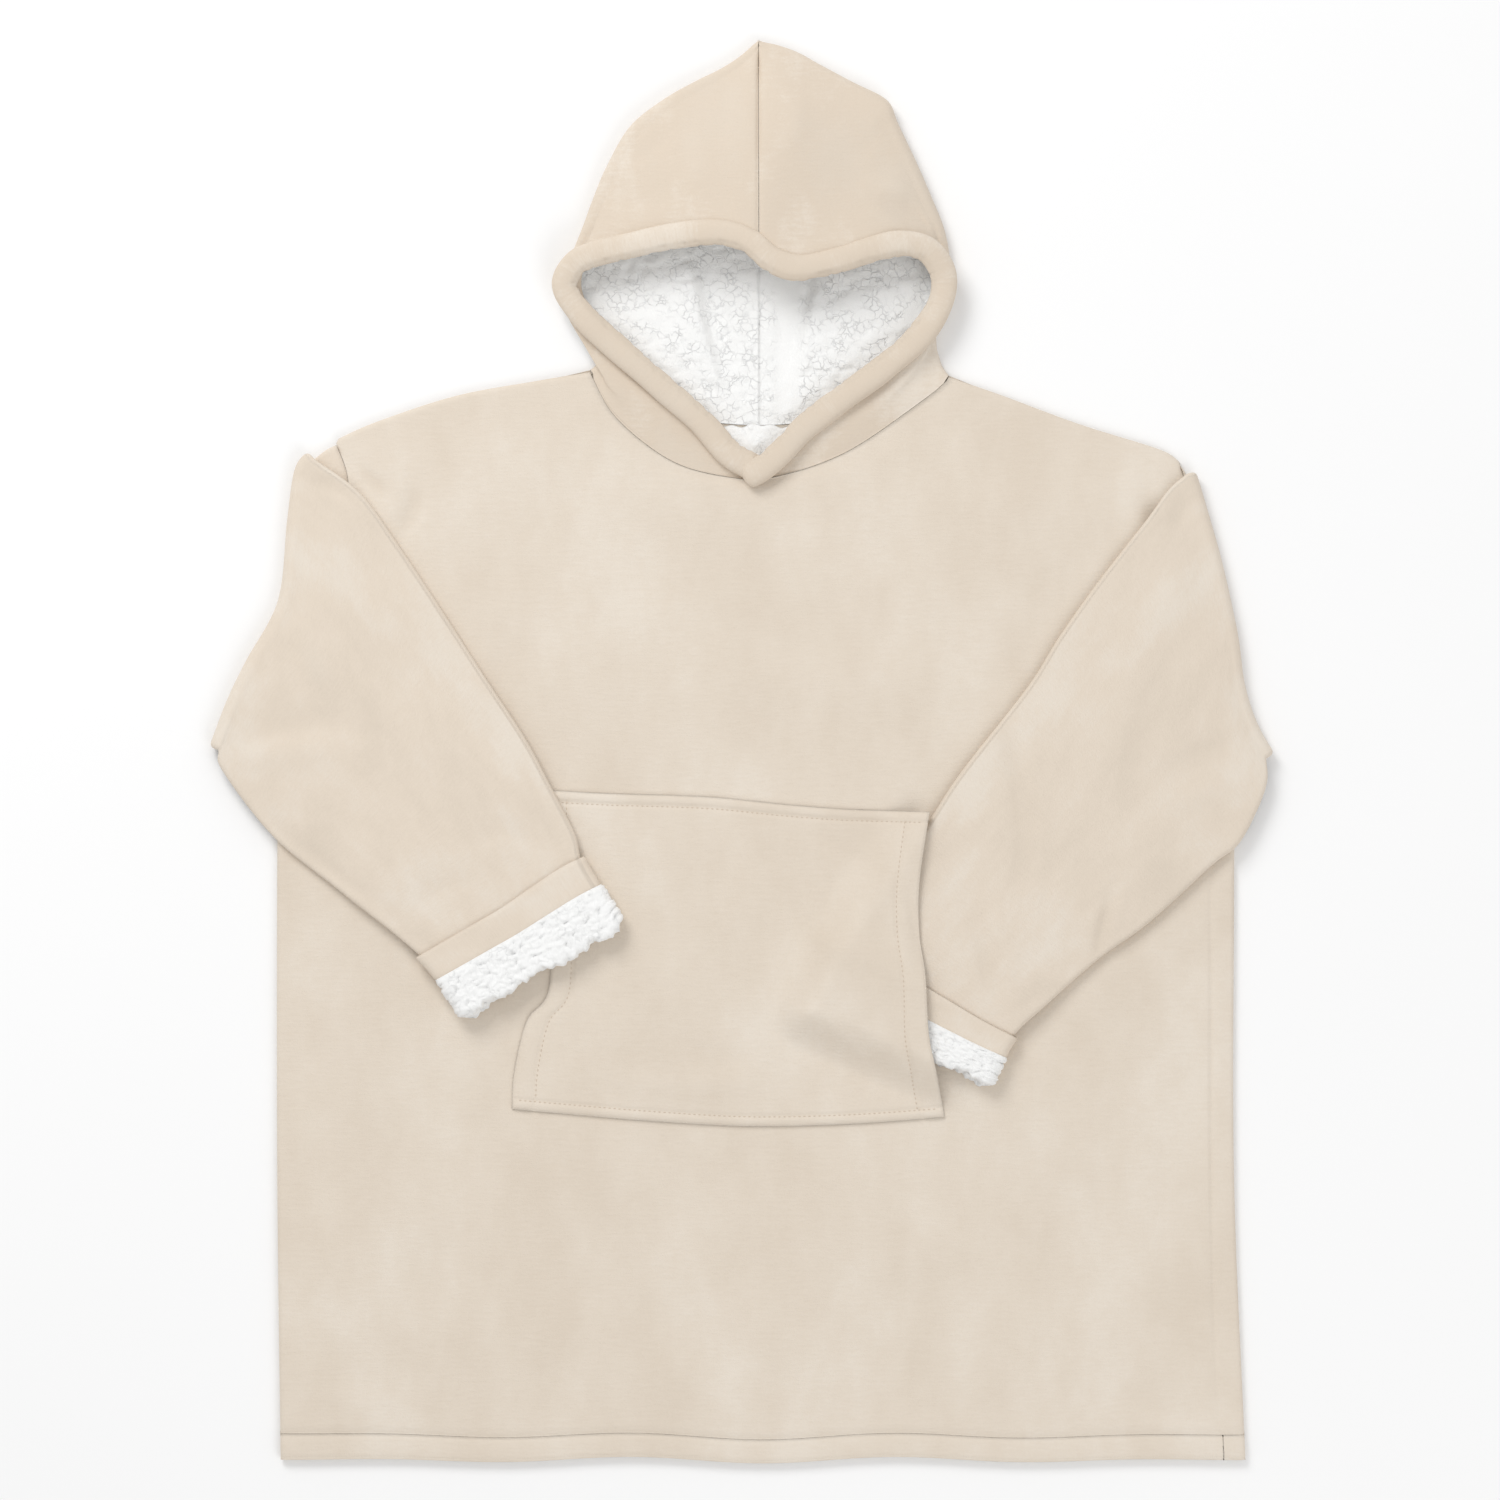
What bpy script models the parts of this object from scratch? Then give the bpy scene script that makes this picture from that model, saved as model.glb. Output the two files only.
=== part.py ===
"""A wearable blanket hoodie, laid flat on its back with both sleeves folded over its front.

The tables are in millimetres: x to the wearer's left, y towards the hood, z up from the floor.
The wearer's right side is at -x. Every piece of cloth is a closed wall between two grids of points.
"""
import math

import bmesh
import bpy
import numpy as np

MM = 0.001

# Cloth, millimetres
WALL = 4.0
SEAM_GAP = 0.3
EDGE_RADIUS = 4.4
CURL_STEPS = 3
FOLD_RADIUS = 4.7
FOLD_STEPS = 4
LAYER_TOP = 2 * EDGE_RADIUS

# Body outline from the hem to the neck, one row for each turn: x, y
RIGHT_SIDE_SEAM = [(-406, -622), (-409, -375), (-409, -94), (-407, 24)]
RIGHT_ARMHOLE = [(-407, 24), (-371, 91), (-350, 170), (-346, 238), (-358, 276)]
RIGHT_SHOULDER = [(-358, 276), (-322, 292), (-252, 315), (-182, 328), (-134, 336)]
LEFT_SIDE_SEAM = [(444, -622), (434, -375), (434, -129), (435, 21)]
LEFT_ARMHOLE = [(435, 21), (416, 91), (404, 165), (396, 215), (386, 257)]
LEFT_SHOULDER = [(386, 257), (368, 268), (298, 290), (228, 316), (184, 331)]
SIDE_ROWS, ARMHOLE_ROWS, SHOULDER_ROWS = 10, 6, 5

# Neckline from the wearer's right to left, front and back: x, y
FRONT_NECK = [(-134, 336), (-110, 295), (-61, 257), (-10, 243), (28, 243), (92, 265), (160, 311),
              (184, 331)]
BACK_NECK = [(-134, 336), (-75, 302), (15, 289), (120, 302), (184, 331)]
FRONT_COLUMNS, BACK_COLUMNS = 14, 8
NECK_POINT_NORMAL = (0.5, 0.866)
NECK_DRAW_IN = 0.024
HEM_DEPTH = 19.0
HEM_WAVES = 3.0
HEM_WAVE_COUNT = 3.5

# Sleeves. The fold is the outer outline from the shoulder to the elbow, the upper and lower
# edges run on from its ends to the wrist: x, y
RIGHT_FOLD = [(-379, 269), (-393, 251), (-400, 205), (-408, 135), (-436, 82), (-453, 47), (-470, 2)]
RIGHT_UPPER_EDGE = [(-335, 229), (-301, 183), (-263, 126), (-225, 67), (-190, 14), (-168, -27),
                    (-146, -70), (-138, -98), (-104, -152)]
RIGHT_LOWER_EDGE = [(-458, -14), (-411, -74), (-349, -124), (-279, -181), (-240, -233)]
LEFT_FOLD = [(399, 252), (411, 212), (424, 165), (437, 105), (443, 62), (454, 27), (471, -3)]
LEFT_UPPER_EDGE = [(374, 231), (355, 205), (333, 177), (307, 143), (277, 100), (250, 57), (193, -16),
                   (164, -60), (125, -118), (85, -173), (62, -226)]
LEFT_LOWER_EDGE = [(464, -22), (454, -50), (437, -80), (413, -99), (358, -149), (314, -181),
                   (267, -222), (237, -251), (216, -292)]
SLEEVE_COLUMNS = ARMHOLE_ROWS
SLEEVE_DRAW_IN = 0.03
SLEEVE_SWELL = 2.5

# Height of a sleeve's middle over its length after the fold: share of length, z
RIGHT_SLEEVE_RISE = [(0.0, 13.8), (0.45, 13.8), (0.62, 17.4), (0.78, 19.5), (0.84, 21.3), (1.0, 21.3)]
LEFT_SLEEVE_RISE = [(0.0, 13.8), (0.68, 13.8), (0.84, 18.1), (1.0, 18.1)]

# Turned-back cuffs, where the band begins and where it meets the sherpa: shares of the upper
# edge's length, and of the lower edge's
RIGHT_CUFF = [(0.868, 0.80), (0.916, 0.872)]
LEFT_CUFF = [(0.893, 0.885), (0.936, 0.927)]
CUFF_END = 0.996

# Pocket borders: x, y
POCKET_TOP = [(-173, -32), (-121, -35), (-31, -38), (41, -45), (95, -49), (165, -51)]
POCKET_BOTTOM = [(-202, -313), (-157, -317), (-85, -323), (5, -328), (95, -326), (179, -320)]
POCKET_RIGHT_EDGE = [(-173, -32), (-170, -111), (-169, -204), (-189, -235), (-200, -280), (-202, -313)]
POCKET_LEFT_EDGE = [(165, -51), (156, -114), (156, -158), (161, -193), (164, -245), (171, -280),
                    (179, -320)]
POCKET_WALL = 2.5
POCKET_ROWS, POCKET_COLUMNS = 13, 14

# The stretch of the left sleeve tucked into the pocket, which lifts it: x, y
TUCKED_EDGE = [(175, -40), (164, -60), (125, -118), (85, -173), (62, -226), (216, -292)]
TUCKED_STEP = (161.0, -211.0)
TUCKED_AXIS = (-0.443, -0.896)
SLEEVE_LIFT, CUFF_LIFT = 16.0, 8.5
LIFT_REACH, LIFT_INSIDE, CUFF_LIFT_RUN = 38.0, 6.0, 38.0

# Hood halves, a row for each section from the neck to the peak:
# outline x, y, top edge x, y, z, and the radius of the outer roll
RIGHT_HOOD = [
    (-134, 336, -12, 243, 8.8, 4.4),
    (-128, 343, -43, 285, 12.5, 4.6),
    (-125, 350, -72, 312, 14.5, 5.0),
    (-124, 358, -106, 341, 15.5, 5.5),
    (-135, 375, -124, 366, 15.0, 6.0),
    (-153, 400, -140, 400, 16.5, 7.0),
    (-156, 418, -142, 420, 18.5, 7.5),
    (-150, 438, -134, 449, 24.0, 8.5),
    (-140, 463, -103, 458, 33.0, 9.5),
    (-130, 490, -65, 466, 40.0, 10.5),
    (-118, 518, -24, 469, 46.0, 11.0),
    (-98, 552, 4, 464, 49.0, 10.5),
    (-68, 576, 15, 457, 49.0, 10.0),
    (-40, 592, 15, 494, 48.0, 9.0),
    (-18, 603, 15, 534, 42.0, 8.0),
    (0, 615, 15, 576, 29.0, 7.0),
    (15, 629, 15, 612, 13.0, 5.5),
]
LEFT_HOOD = [
    (184, 331, 30, 244, 8.8, 4.4),
    (177, 341, 64, 272, 12.5, 4.6),
    (174, 350, 94, 296, 14.5, 5.0),
    (172, 358, 130, 325, 15.5, 5.5),
    (172, 375, 160, 355, 15.5, 6.0),
    (177, 396, 163, 392, 16.5, 7.0),
    (181, 415, 168, 417, 18.5, 7.5),
    (183, 438, 167, 452, 24.0, 8.5),
    (178, 463, 141, 459, 32.0, 9.5),
    (168, 488, 113, 453, 39.0, 10.5),
    (155, 518, 84, 444, 44.0, 11.0),
    (138, 554, 36, 441, 48.0, 10.5),
    (128, 575, 15, 457, 49.0, 10.0),
    (98, 591, 15, 494, 48.0, 9.0),
    (70, 606, 15, 534, 42.0, 8.0),
    (46, 619, 15, 576, 29.0, 7.0),
    (15, 629, 15, 612, 13.0, 5.5),
]
HOOD_CENTRE = 15.0
HOOD_TIP = 611.0
HOOD_OUTER_WALL = 1.4
HOOD_LINING_WALL = 2.4
HOOD_BOTTOM_COLUMNS, HOOD_TOP_COLUMNS, HOOD_CURL_STEPS = 4, 6, 6

# Middle line of the stuffed binding from the V to the V again: x, y, z
BINDING_PATH = [
    (14.5, 250, 14.2), (-8, 261, 14.5), (-35, 291, 16.0), (-69, 321, 18.0), (-108, 355, 20.0),
    (-138, 383, 22.0), (-155, 409, 24.0), (-147, 428, 27.5), (-130, 437, 31.0), (-99, 444, 36.0),
    (-60, 452, 42.0), (-20, 455, 46.5), (7, 447, 48.0), (27, 431, 47.5), (51, 424, 46.5),
    (85, 431, 44.0), (112, 440, 40.0), (139, 446, 35.5), (163, 441, 30.5), (177, 420, 25.5),
    (174, 394, 23.0), (155, 365, 21.5), (124, 338, 18.5), (86, 310, 17.0), (55, 286, 15.5),
    (36, 264, 14.5), (15.5, 250, 14.2),
]
BINDING_HALF_WIDTH, BINDING_HALF_HEIGHT = 10.6, 5.2
BINDING_STATIONS, BINDING_SIDES = 56, 8

# Facing inside the back neck, between the back seam and the V: x, y of its corners, and its wall
NECK_LINING_ROWS = [(-30, 283, 56, 283), (-20, 268, 44, 268), (0, 251, 30, 251)]
NECK_LINING_WALL = 3.0

# Finishes: base colour and roughness
FLANNEL = ((0.74, 0.66, 0.55, 1.0), 0.95)
SHERPA = ((0.90, 0.89, 0.87, 1.0), 1.0)


def smooth_curve(points, per_span=10):
    """Dense points of a Catmull-Rom curve through the given points."""
    knots = np.asarray(points, dtype=float)
    padded = np.vstack([2 * knots[0] - knots[1], knots, 2 * knots[-1] - knots[-2]])
    t = np.linspace(0.0, 1.0, per_span, endpoint=False)[:, None]
    spans = []
    for a, b, c, d in zip(padded, padded[1:], padded[2:], padded[3:]):
        cubic = (3 * b - a - 3 * c + d) * t ** 3
        square = (2 * a - 5 * b + 4 * c - d) * t ** 2
        spans.append(0.5 * (2 * b + (c - a) * t + square + cubic))
    spans.append(knots[-1:])
    return np.vstack(spans)


def at_shares(dense, shares):
    """Points of a dense curve at the given shares of its length."""
    steps = np.linalg.norm(np.diff(dense, axis=0), axis=1)
    run = np.concatenate(([0.0], np.cumsum(steps)))
    return np.column_stack([np.interp(np.asarray(shares) * run[-1], run, column) for column in dense.T])


def side_normals(points, turn):
    """Unit normals of a plan curve: turn is +1 for the left of its direction and -1 for the right."""
    tangent = np.gradient(points, axis=0)
    normal = np.column_stack([-turn * tangent[:, 1], turn * tangent[:, 0]])
    return normal / np.linalg.norm(normal, axis=1)[:, None]


def coons(start, end, low, high, across, up):
    """A patch between four border curves, as a grid of rows (up) by columns (across)."""
    a = np.asarray(across)[None, :, None]
    b = np.asarray(up)[:, None, None]
    sideways = (1 - a) * start[:, None] + a * end[:, None]
    upwards = (1 - b) * low[None] + b * high[None]
    corners = (1 - b) * ((1 - a) * low[0] + a * low[-1]) + b * ((1 - a) * high[0] + a * high[-1])
    return sideways + upwards - corners


def ease(value):
    """A smooth step from 0 to 1."""
    inside = np.clip(value, 0.0, 1.0)
    return inside * inside * (3 - 2 * inside)


def new_object(name, points, faces, finish):
    """A closed mesh object with its own material and its faces pointing outwards."""
    mesh = bpy.data.meshes.new(name)
    mesh.from_pydata([tuple(point * MM) for point in points], [], faces)
    work = bmesh.new()
    work.from_mesh(mesh)
    bmesh.ops.recalc_face_normals(work, faces=work.faces)
    work.to_mesh(mesh)
    work.free()
    mesh.shade_smooth()
    colour, roughness = finish
    material = bpy.data.materials.new(name)
    material.use_nodes = True
    shader = material.node_tree.nodes["Principled BSDF"]
    shader.inputs["Base Color"].default_value = colour
    shader.inputs["Roughness"].default_value = roughness
    shader.inputs["Metallic"].default_value = 0.0
    mesh.materials.append(material)
    made = bpy.data.objects.new(name, mesh)
    bpy.context.scene.collection.objects.link(made)
    return made


def panel(name, outer, inner, finish):
    """A piece of cloth: two grids of points and a wall of faces round their border."""
    rows, columns = outer.shape[:2]
    number = np.arange(2 * rows * columns).reshape(2, rows, columns)
    faces = []
    for side in number:
        for row in range(rows - 1):
            for column in range(columns - 1):
                quad = [side[row, column], side[row, column + 1],
                        side[row + 1, column + 1], side[row + 1, column]]
                faces.append([int(corner) for corner in quad])
    borders = [number[:, 0, :], number[:, -1, :], number[:, :, 0], number[:, :, -1]]
    for out_edge, in_edge in borders:
        for k in range(len(out_edge) - 1):
            quad = [out_edge[k], out_edge[k + 1], in_edge[k + 1], in_edge[k]]
            faces.append([int(corner) for corner in quad])
    points = np.vstack([outer.reshape(-1, 3), inner.reshape(-1, 3)])
    return new_object(name, points, faces, finish)


def closed_sweep(name, loops, finish):
    """A ring-shaped solid: loops of points, each joined to the next and the last to the first."""
    count, sides = loops.shape[:2]
    faces = []
    for ring in range(count):
        following = (ring + 1) % count
        for side in range(sides):
            beside = (side + 1) % sides
            faces.append([ring * sides + side, ring * sides + beside,
                          following * sides + beside, following * sides + side])
    return new_object(name, loops.reshape(-1, 3), faces, finish)


def curl_angles(radius, steps):
    """Angles from the seam at mid-height, half a gap off it, up to the flat."""
    return np.linspace(math.asin(SEAM_GAP / 2 / radius), math.pi / 2, steps + 1)


def body_side(side_seam, armhole, shoulder, turn):
    """Outline of one side, its outward normals, and which rows are open armhole rows."""
    stretches = [(side_seam, SIDE_ROWS), (armhole, ARMHOLE_ROWS), (shoulder, SHOULDER_ROWS)]
    points = []
    for table, rows in stretches:
        stretch = at_shares(smooth_curve(table), np.linspace(0, 1, rows + 1))
        points.append(stretch if not points else stretch[1:])
    outline = np.vstack(points)
    is_open = np.zeros(len(outline), dtype=bool)
    is_open[SIDE_ROWS + 1:SIDE_ROWS + ARMHOLE_ROWS] = True
    normals = side_normals(outline, turn)
    normals[-1] = (-turn * NECK_POINT_NORMAL[0], NECK_POINT_NORMAL[1])
    return outline, normals, is_open


RIGHT_BODY = body_side(RIGHT_SIDE_SEAM, RIGHT_ARMHOLE, RIGHT_SHOULDER, 1)
LEFT_BODY = body_side(LEFT_SIDE_SEAM, LEFT_ARMHOLE, LEFT_SHOULDER, -1)


def neck_curve(table, shares):
    """Points of a neckline: shares up to 0.5 reach the centre, the ends are drawn in by the curl."""
    dense = smooth_curve(table)
    middle = int(np.argmin(np.abs(dense[:, 0] - HOOD_CENTRE)))
    dense[middle, 0] = HOOD_CENTRE
    shares = np.asarray(shares)
    before = NECK_DRAW_IN + (1 - NECK_DRAW_IN) * np.minimum(1, 2 * shares)
    after = (1 - NECK_DRAW_IN) * np.maximum(0, 2 * shares - 1)
    right = at_shares(dense[:middle + 1], before)
    left = at_shares(dense[middle:], after)
    return np.where(shares[:, None] <= 0.5, right, left)


def body_layer(columns, neck, is_front, radius):
    """One surface of the front or back: a flat run between two quarter curls."""
    right, right_normal, right_open = RIGHT_BODY
    left, left_normal, left_open = LEFT_BODY
    right_centre = right - EDGE_RADIUS * right_normal
    left_centre = left - EDGE_RADIUS * left_normal
    across = np.linspace(0, 1, columns + 1)
    steps = np.linalg.norm(np.diff(right, axis=0), axis=1)
    up = np.concatenate(([0.0], np.cumsum(steps))) / steps.sum()
    hem = (1 - across[:, None]) * right_centre[0] + across[:, None] * left_centre[0]
    hem[:, 1] += HEM_WAVES * np.sin(across * HEM_WAVE_COUNT * math.tau) * np.sin(across * math.pi)
    top = neck_curve(neck, across)
    right_centre[-1] = top[0]
    left_centre[-1] = top[-1]
    plan = coons(right_centre, left_centre, hem, top, across, up)
    flat = np.dstack([plan, np.full(plan.shape[:2], EDGE_RADIUS + radius)])
    angles = curl_angles(radius, CURL_STEPS)[:-1]
    spread = EDGE_RADIUS * (1 - np.arange(CURL_STEPS) / CURL_STEPS)

    def edge(centre, normal, is_open):
        """Columns of a quarter curl, laid out flat along the open armhole."""
        reach = np.where(is_open[:, None], spread, radius * np.cos(angles))
        height = np.where(is_open[:, None], radius, radius * np.sin(angles))
        xy = centre[:, None] + normal[:, None] * reach[:, :, None]
        return np.dstack([xy, EDGE_RADIUS + height])

    grid = np.concatenate([edge(right_centre, right_normal, right_open), flat,
                           edge(left_centre, left_normal, left_open)[:, ::-1]], axis=1)
    if not is_front:
        grid[:, :, 2] = 2 * EDGE_RADIUS - grid[:, :, 2]
    return grid


def split_hem(grid):
    """The hem band's rows and the panel's rows, a seam gap apart."""
    direction = grid[1] - grid[0]
    length = np.linalg.norm(direction[:, :2], axis=1)[:, None]
    seam = grid[0] + direction * (HEM_DEPTH / length)
    after = grid[0] + direction * ((HEM_DEPTH + SEAM_GAP) / length)
    return np.stack([grid[0], seam]), np.concatenate([after[None], grid[1:]])


def make_body():
    """Front and back panels with their hem bands."""
    for word, columns, neck, is_front in (("front", FRONT_COLUMNS, FRONT_NECK, True),
                                          ("back", BACK_COLUMNS, BACK_NECK, False)):
        outer = body_layer(columns, neck, is_front, EDGE_RADIUS)
        inner = body_layer(columns, neck, is_front, EDGE_RADIUS - WALL)
        outer_band, outer_panel = split_hem(outer)
        inner_band, inner_panel = split_hem(inner)
        panel(word + "_panel", outer_panel, inner_panel, FLANNEL)
        panel("hem_band_" + word, outer_band, inner_band, FLANNEL)


class Sleeve:
    """A flattened tube from the armhole, round the outer fold and back over the front."""

    def __init__(self, body, fold, upper, lower, rise, cuff, turn):
        self.across = np.linspace(0, 1, SLEEVE_COLUMNS + 1)
        self.rise = np.array(rise)
        self.cuff = np.array([(0.0, 0.0), *cuff, (1.0, 1.0)])
        drawn_in = np.clip(self.across, SLEEVE_DRAW_IN, 1 - SLEEVE_DRAW_IN)
        fold_line = at_shares(smooth_curve(fold), drawn_in)
        self.outward = side_normals(fold_line[::-1], turn)[::-1]
        self.fold_centre = fold_line - self.outward * (FOLD_RADIUS + EDGE_RADIUS)
        edge = body[0][SIDE_ROWS:SIDE_ROWS + ARMHOLE_ROWS + 1]
        edge = edge + side_normals(edge, turn) * SEAM_GAP
        self.seam = at_shares(edge[::-1], drawn_in)
        self.upper = self.border(self.fold_centre[0], upper, -turn)
        self.lower = self.border(self.fold_centre[-1], lower, turn)
        self.wrist = (1 - self.across[:, None]) * self.upper[-1] + self.across[:, None] * self.lower[-1]

    @staticmethod
    def border(corner, table, inward_turn):
        """An edge's middle line: the table's outline drawn in by the edge radius."""
        points = np.array(table, dtype=float)
        inward = side_normals(np.vstack([corner, points]), inward_turn)[1:]
        return smooth_curve(np.vstack([corner, points + inward * EDGE_RADIUS]))

    def over_front(self, shares):
        """Middle surface and normals after the fold, at shares of the length to the wrist."""
        shares = np.asarray(shares, dtype=float)
        upper = at_shares(self.upper, shares)
        lower = at_shares(self.lower, np.interp(shares, self.cuff[:, 0], self.cuff[:, 1]))
        plan = coons(upper, lower, self.fold_centre, self.wrist, self.across, shares)
        height = np.interp(shares, self.rise[:, 0], self.rise[:, 1])
        height = np.repeat(height[:, None], len(self.across), axis=1)
        normals = np.zeros(plan.shape[:2] + (3,))
        normals[:, :, 2] = 1.0
        return np.dstack([plan, height]), normals

    def before_front(self):
        """Middle surface and normals from the armhole seam to the top of the fold."""
        floor = np.full((len(self.across), 1), EDGE_RADIUS)
        down = np.tile((0.0, 0.0, -1.0), (len(self.across), 1))
        surfaces, normals = [np.hstack([self.seam, floor])], [down]
        for angle in np.linspace(-math.pi / 2, math.pi / 2, FOLD_STEPS + 1)[:-1]:
            sideways = self.outward * math.cos(angle)
            plan = self.fold_centre + sideways * FOLD_RADIUS
            height = floor + FOLD_RADIUS * (1 + math.sin(angle))
            surfaces.append(np.hstack([plan, height]))
            normals.append(np.hstack([sideways, np.full_like(floor, math.sin(angle))]))
        return np.stack(surfaces), np.stack(normals)

    def loops(self, middle, normals, radius, swell):
        """Closed loops round the middle surface: top run, edge, bottom run and edge."""
        arch = swell[:, None, None] * np.sin(math.pi * self.across)[None, :, None]
        top = middle + normals * (radius + arch)
        bottom = middle - normals * radius
        steps = np.linspace(math.pi / 2, -math.pi / 2, CURL_STEPS + 2)[1:-1]

        def edge(column, beside, angles):
            """Half round of an edge, square to the middle surface."""
            outward = middle[:, column] - middle[:, beside]
            square = normals[:, column]
            outward -= square * np.sum(outward * square, axis=1)[:, None]
            outward /= np.linalg.norm(outward, axis=1)[:, None]
            ring = [middle[:, column] + radius * (math.sin(a) * square + math.cos(a) * outward)
                    for a in angles]
            return np.stack(ring, axis=1)

        return np.concatenate([top, edge(-1, -2, steps), bottom[:, ::-1],
                               edge(0, 1, steps[::-1])], axis=1)

    def tube(self, name, shares, flat_from):
        """The sleeve itself, open at the armhole and the wrist, unswollen where the cuff lies on it."""
        before, before_normals = self.before_front()
        after, after_normals = self.over_front(shares)
        middle = np.concatenate([before, after])
        normals = np.concatenate([before_normals, after_normals])
        swell = np.zeros(len(middle))
        swell[len(before):] = SLEEVE_SWELL * np.sin(math.pi * np.minimum(shares / flat_from, 1))
        outer = self.loops(middle, normals, EDGE_RADIUS, swell)
        inner = self.loops(middle, normals, EDGE_RADIUS - WALL, swell)
        closed_sweep(name, np.concatenate([outer, inner[::-1]]), FLANNEL)

    def cuff_ring(self, name, profile, finish):
        """A ring round the sleeve's end, from a profile of share and radius."""
        shares, radii = np.array(profile).T
        middle, normals = self.over_front(shares)
        rings = [self.loops(middle[k:k + 1], normals[k:k + 1], radius, np.zeros(1))
                 for k, radius in enumerate(radii)]
        closed_sweep(name, np.concatenate(rings), finish)


def make_sleeve(side, sleeve):
    """One sleeve with its turned-back cuff: a flannel band and a sherpa ring over the end."""
    band, line = sleeve.cuff[1:3, 0]
    length = np.linalg.norm(sleeve.upper[-1] - sleeve.upper[0])
    gap = SEAM_GAP / length
    half_way = (line + CUFF_END) / 2
    shares = np.concatenate([np.linspace(0, band - 0.01, 9), [line, half_way, CUFF_END - 0.012]])
    sleeve.tube(side + "_sleeve", shares, band - 0.01)
    under, over = EDGE_RADIUS + SEAM_GAP, EDGE_RADIUS + SEAM_GAP + WALL
    middle = (under + over) / 2
    start = band - 0.01
    band_profile = [(start, under), (start - 0.003, middle), (start, over),
                    (line - gap, over), (line - gap, under)]
    sleeve.cuff_ring(side + "_cuff_band", band_profile, FLANNEL)
    lip = CUFF_END - 0.011
    sherpa_profile = [(line, under), (line, over), (half_way, over), (CUFF_END - 0.008, over),
                      (CUFF_END, middle), (CUFF_END, EDGE_RADIUS - WALL + SEAM_GAP),
                      (lip, EDGE_RADIUS - WALL + SEAM_GAP), (lip, under), (half_way, under)]
    sleeve.cuff_ring(side + "_cuff_sherpa", sherpa_profile, SHERPA)


def distance_to_tucked(points):
    """Distance in plan to the tucked stretch of sleeve: positive outside it."""
    path = np.array(TUCKED_EDGE, dtype=float)
    nearest = np.full(len(points), np.inf)
    side = np.zeros(len(points))
    for start, end in zip(path, path[1:]):
        along = end - start
        share = np.clip((points - start) @ along / (along @ along), 0, 1)
        apart = points - (start + share[:, None] * along)
        gap = np.linalg.norm(apart, axis=1)
        turn = along[0] * apart[:, 1] - along[1] * apart[:, 0]
        side = np.where(gap < nearest - 1e-9, np.sign(-turn), side)
        nearest = np.minimum(nearest, gap)
    return side * nearest


def pocket_lift(plan):
    """How far the tucked sleeve and cuff lift the pocket at each point."""
    points = plan.reshape(-1, 2)
    apart = distance_to_tucked(points)
    near = ease((LIFT_REACH - apart) / (LIFT_REACH + LIFT_INSIDE))
    past_step = (points - TUCKED_STEP) @ np.array(TUCKED_AXIS)
    height = SLEEVE_LIFT + CUFF_LIFT * ease((past_step + CUFF_LIFT_RUN) / CUFF_LIFT_RUN)
    return (near * height).reshape(plan.shape[:2])


def make_pocket():
    """The pocket, lying on the front and lifted over the tucked cuff."""
    across = np.linspace(0, 1, POCKET_COLUMNS + 1)
    down = np.linspace(0, 1, POCKET_ROWS + 1)
    right, left = (at_shares(smooth_curve(edge), down) for edge in (POCKET_RIGHT_EDGE, POCKET_LEFT_EDGE))
    top, bottom = (at_shares(smooth_curve(edge), across) for edge in (POCKET_TOP, POCKET_BOTTOM))
    plan = coons(right, left, top, bottom, across, down)
    under = LAYER_TOP + SEAM_GAP + pocket_lift(plan)
    panel("pocket", np.dstack([plan, under + POCKET_WALL]), np.dstack([plan, under]), FLANNEL)


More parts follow.
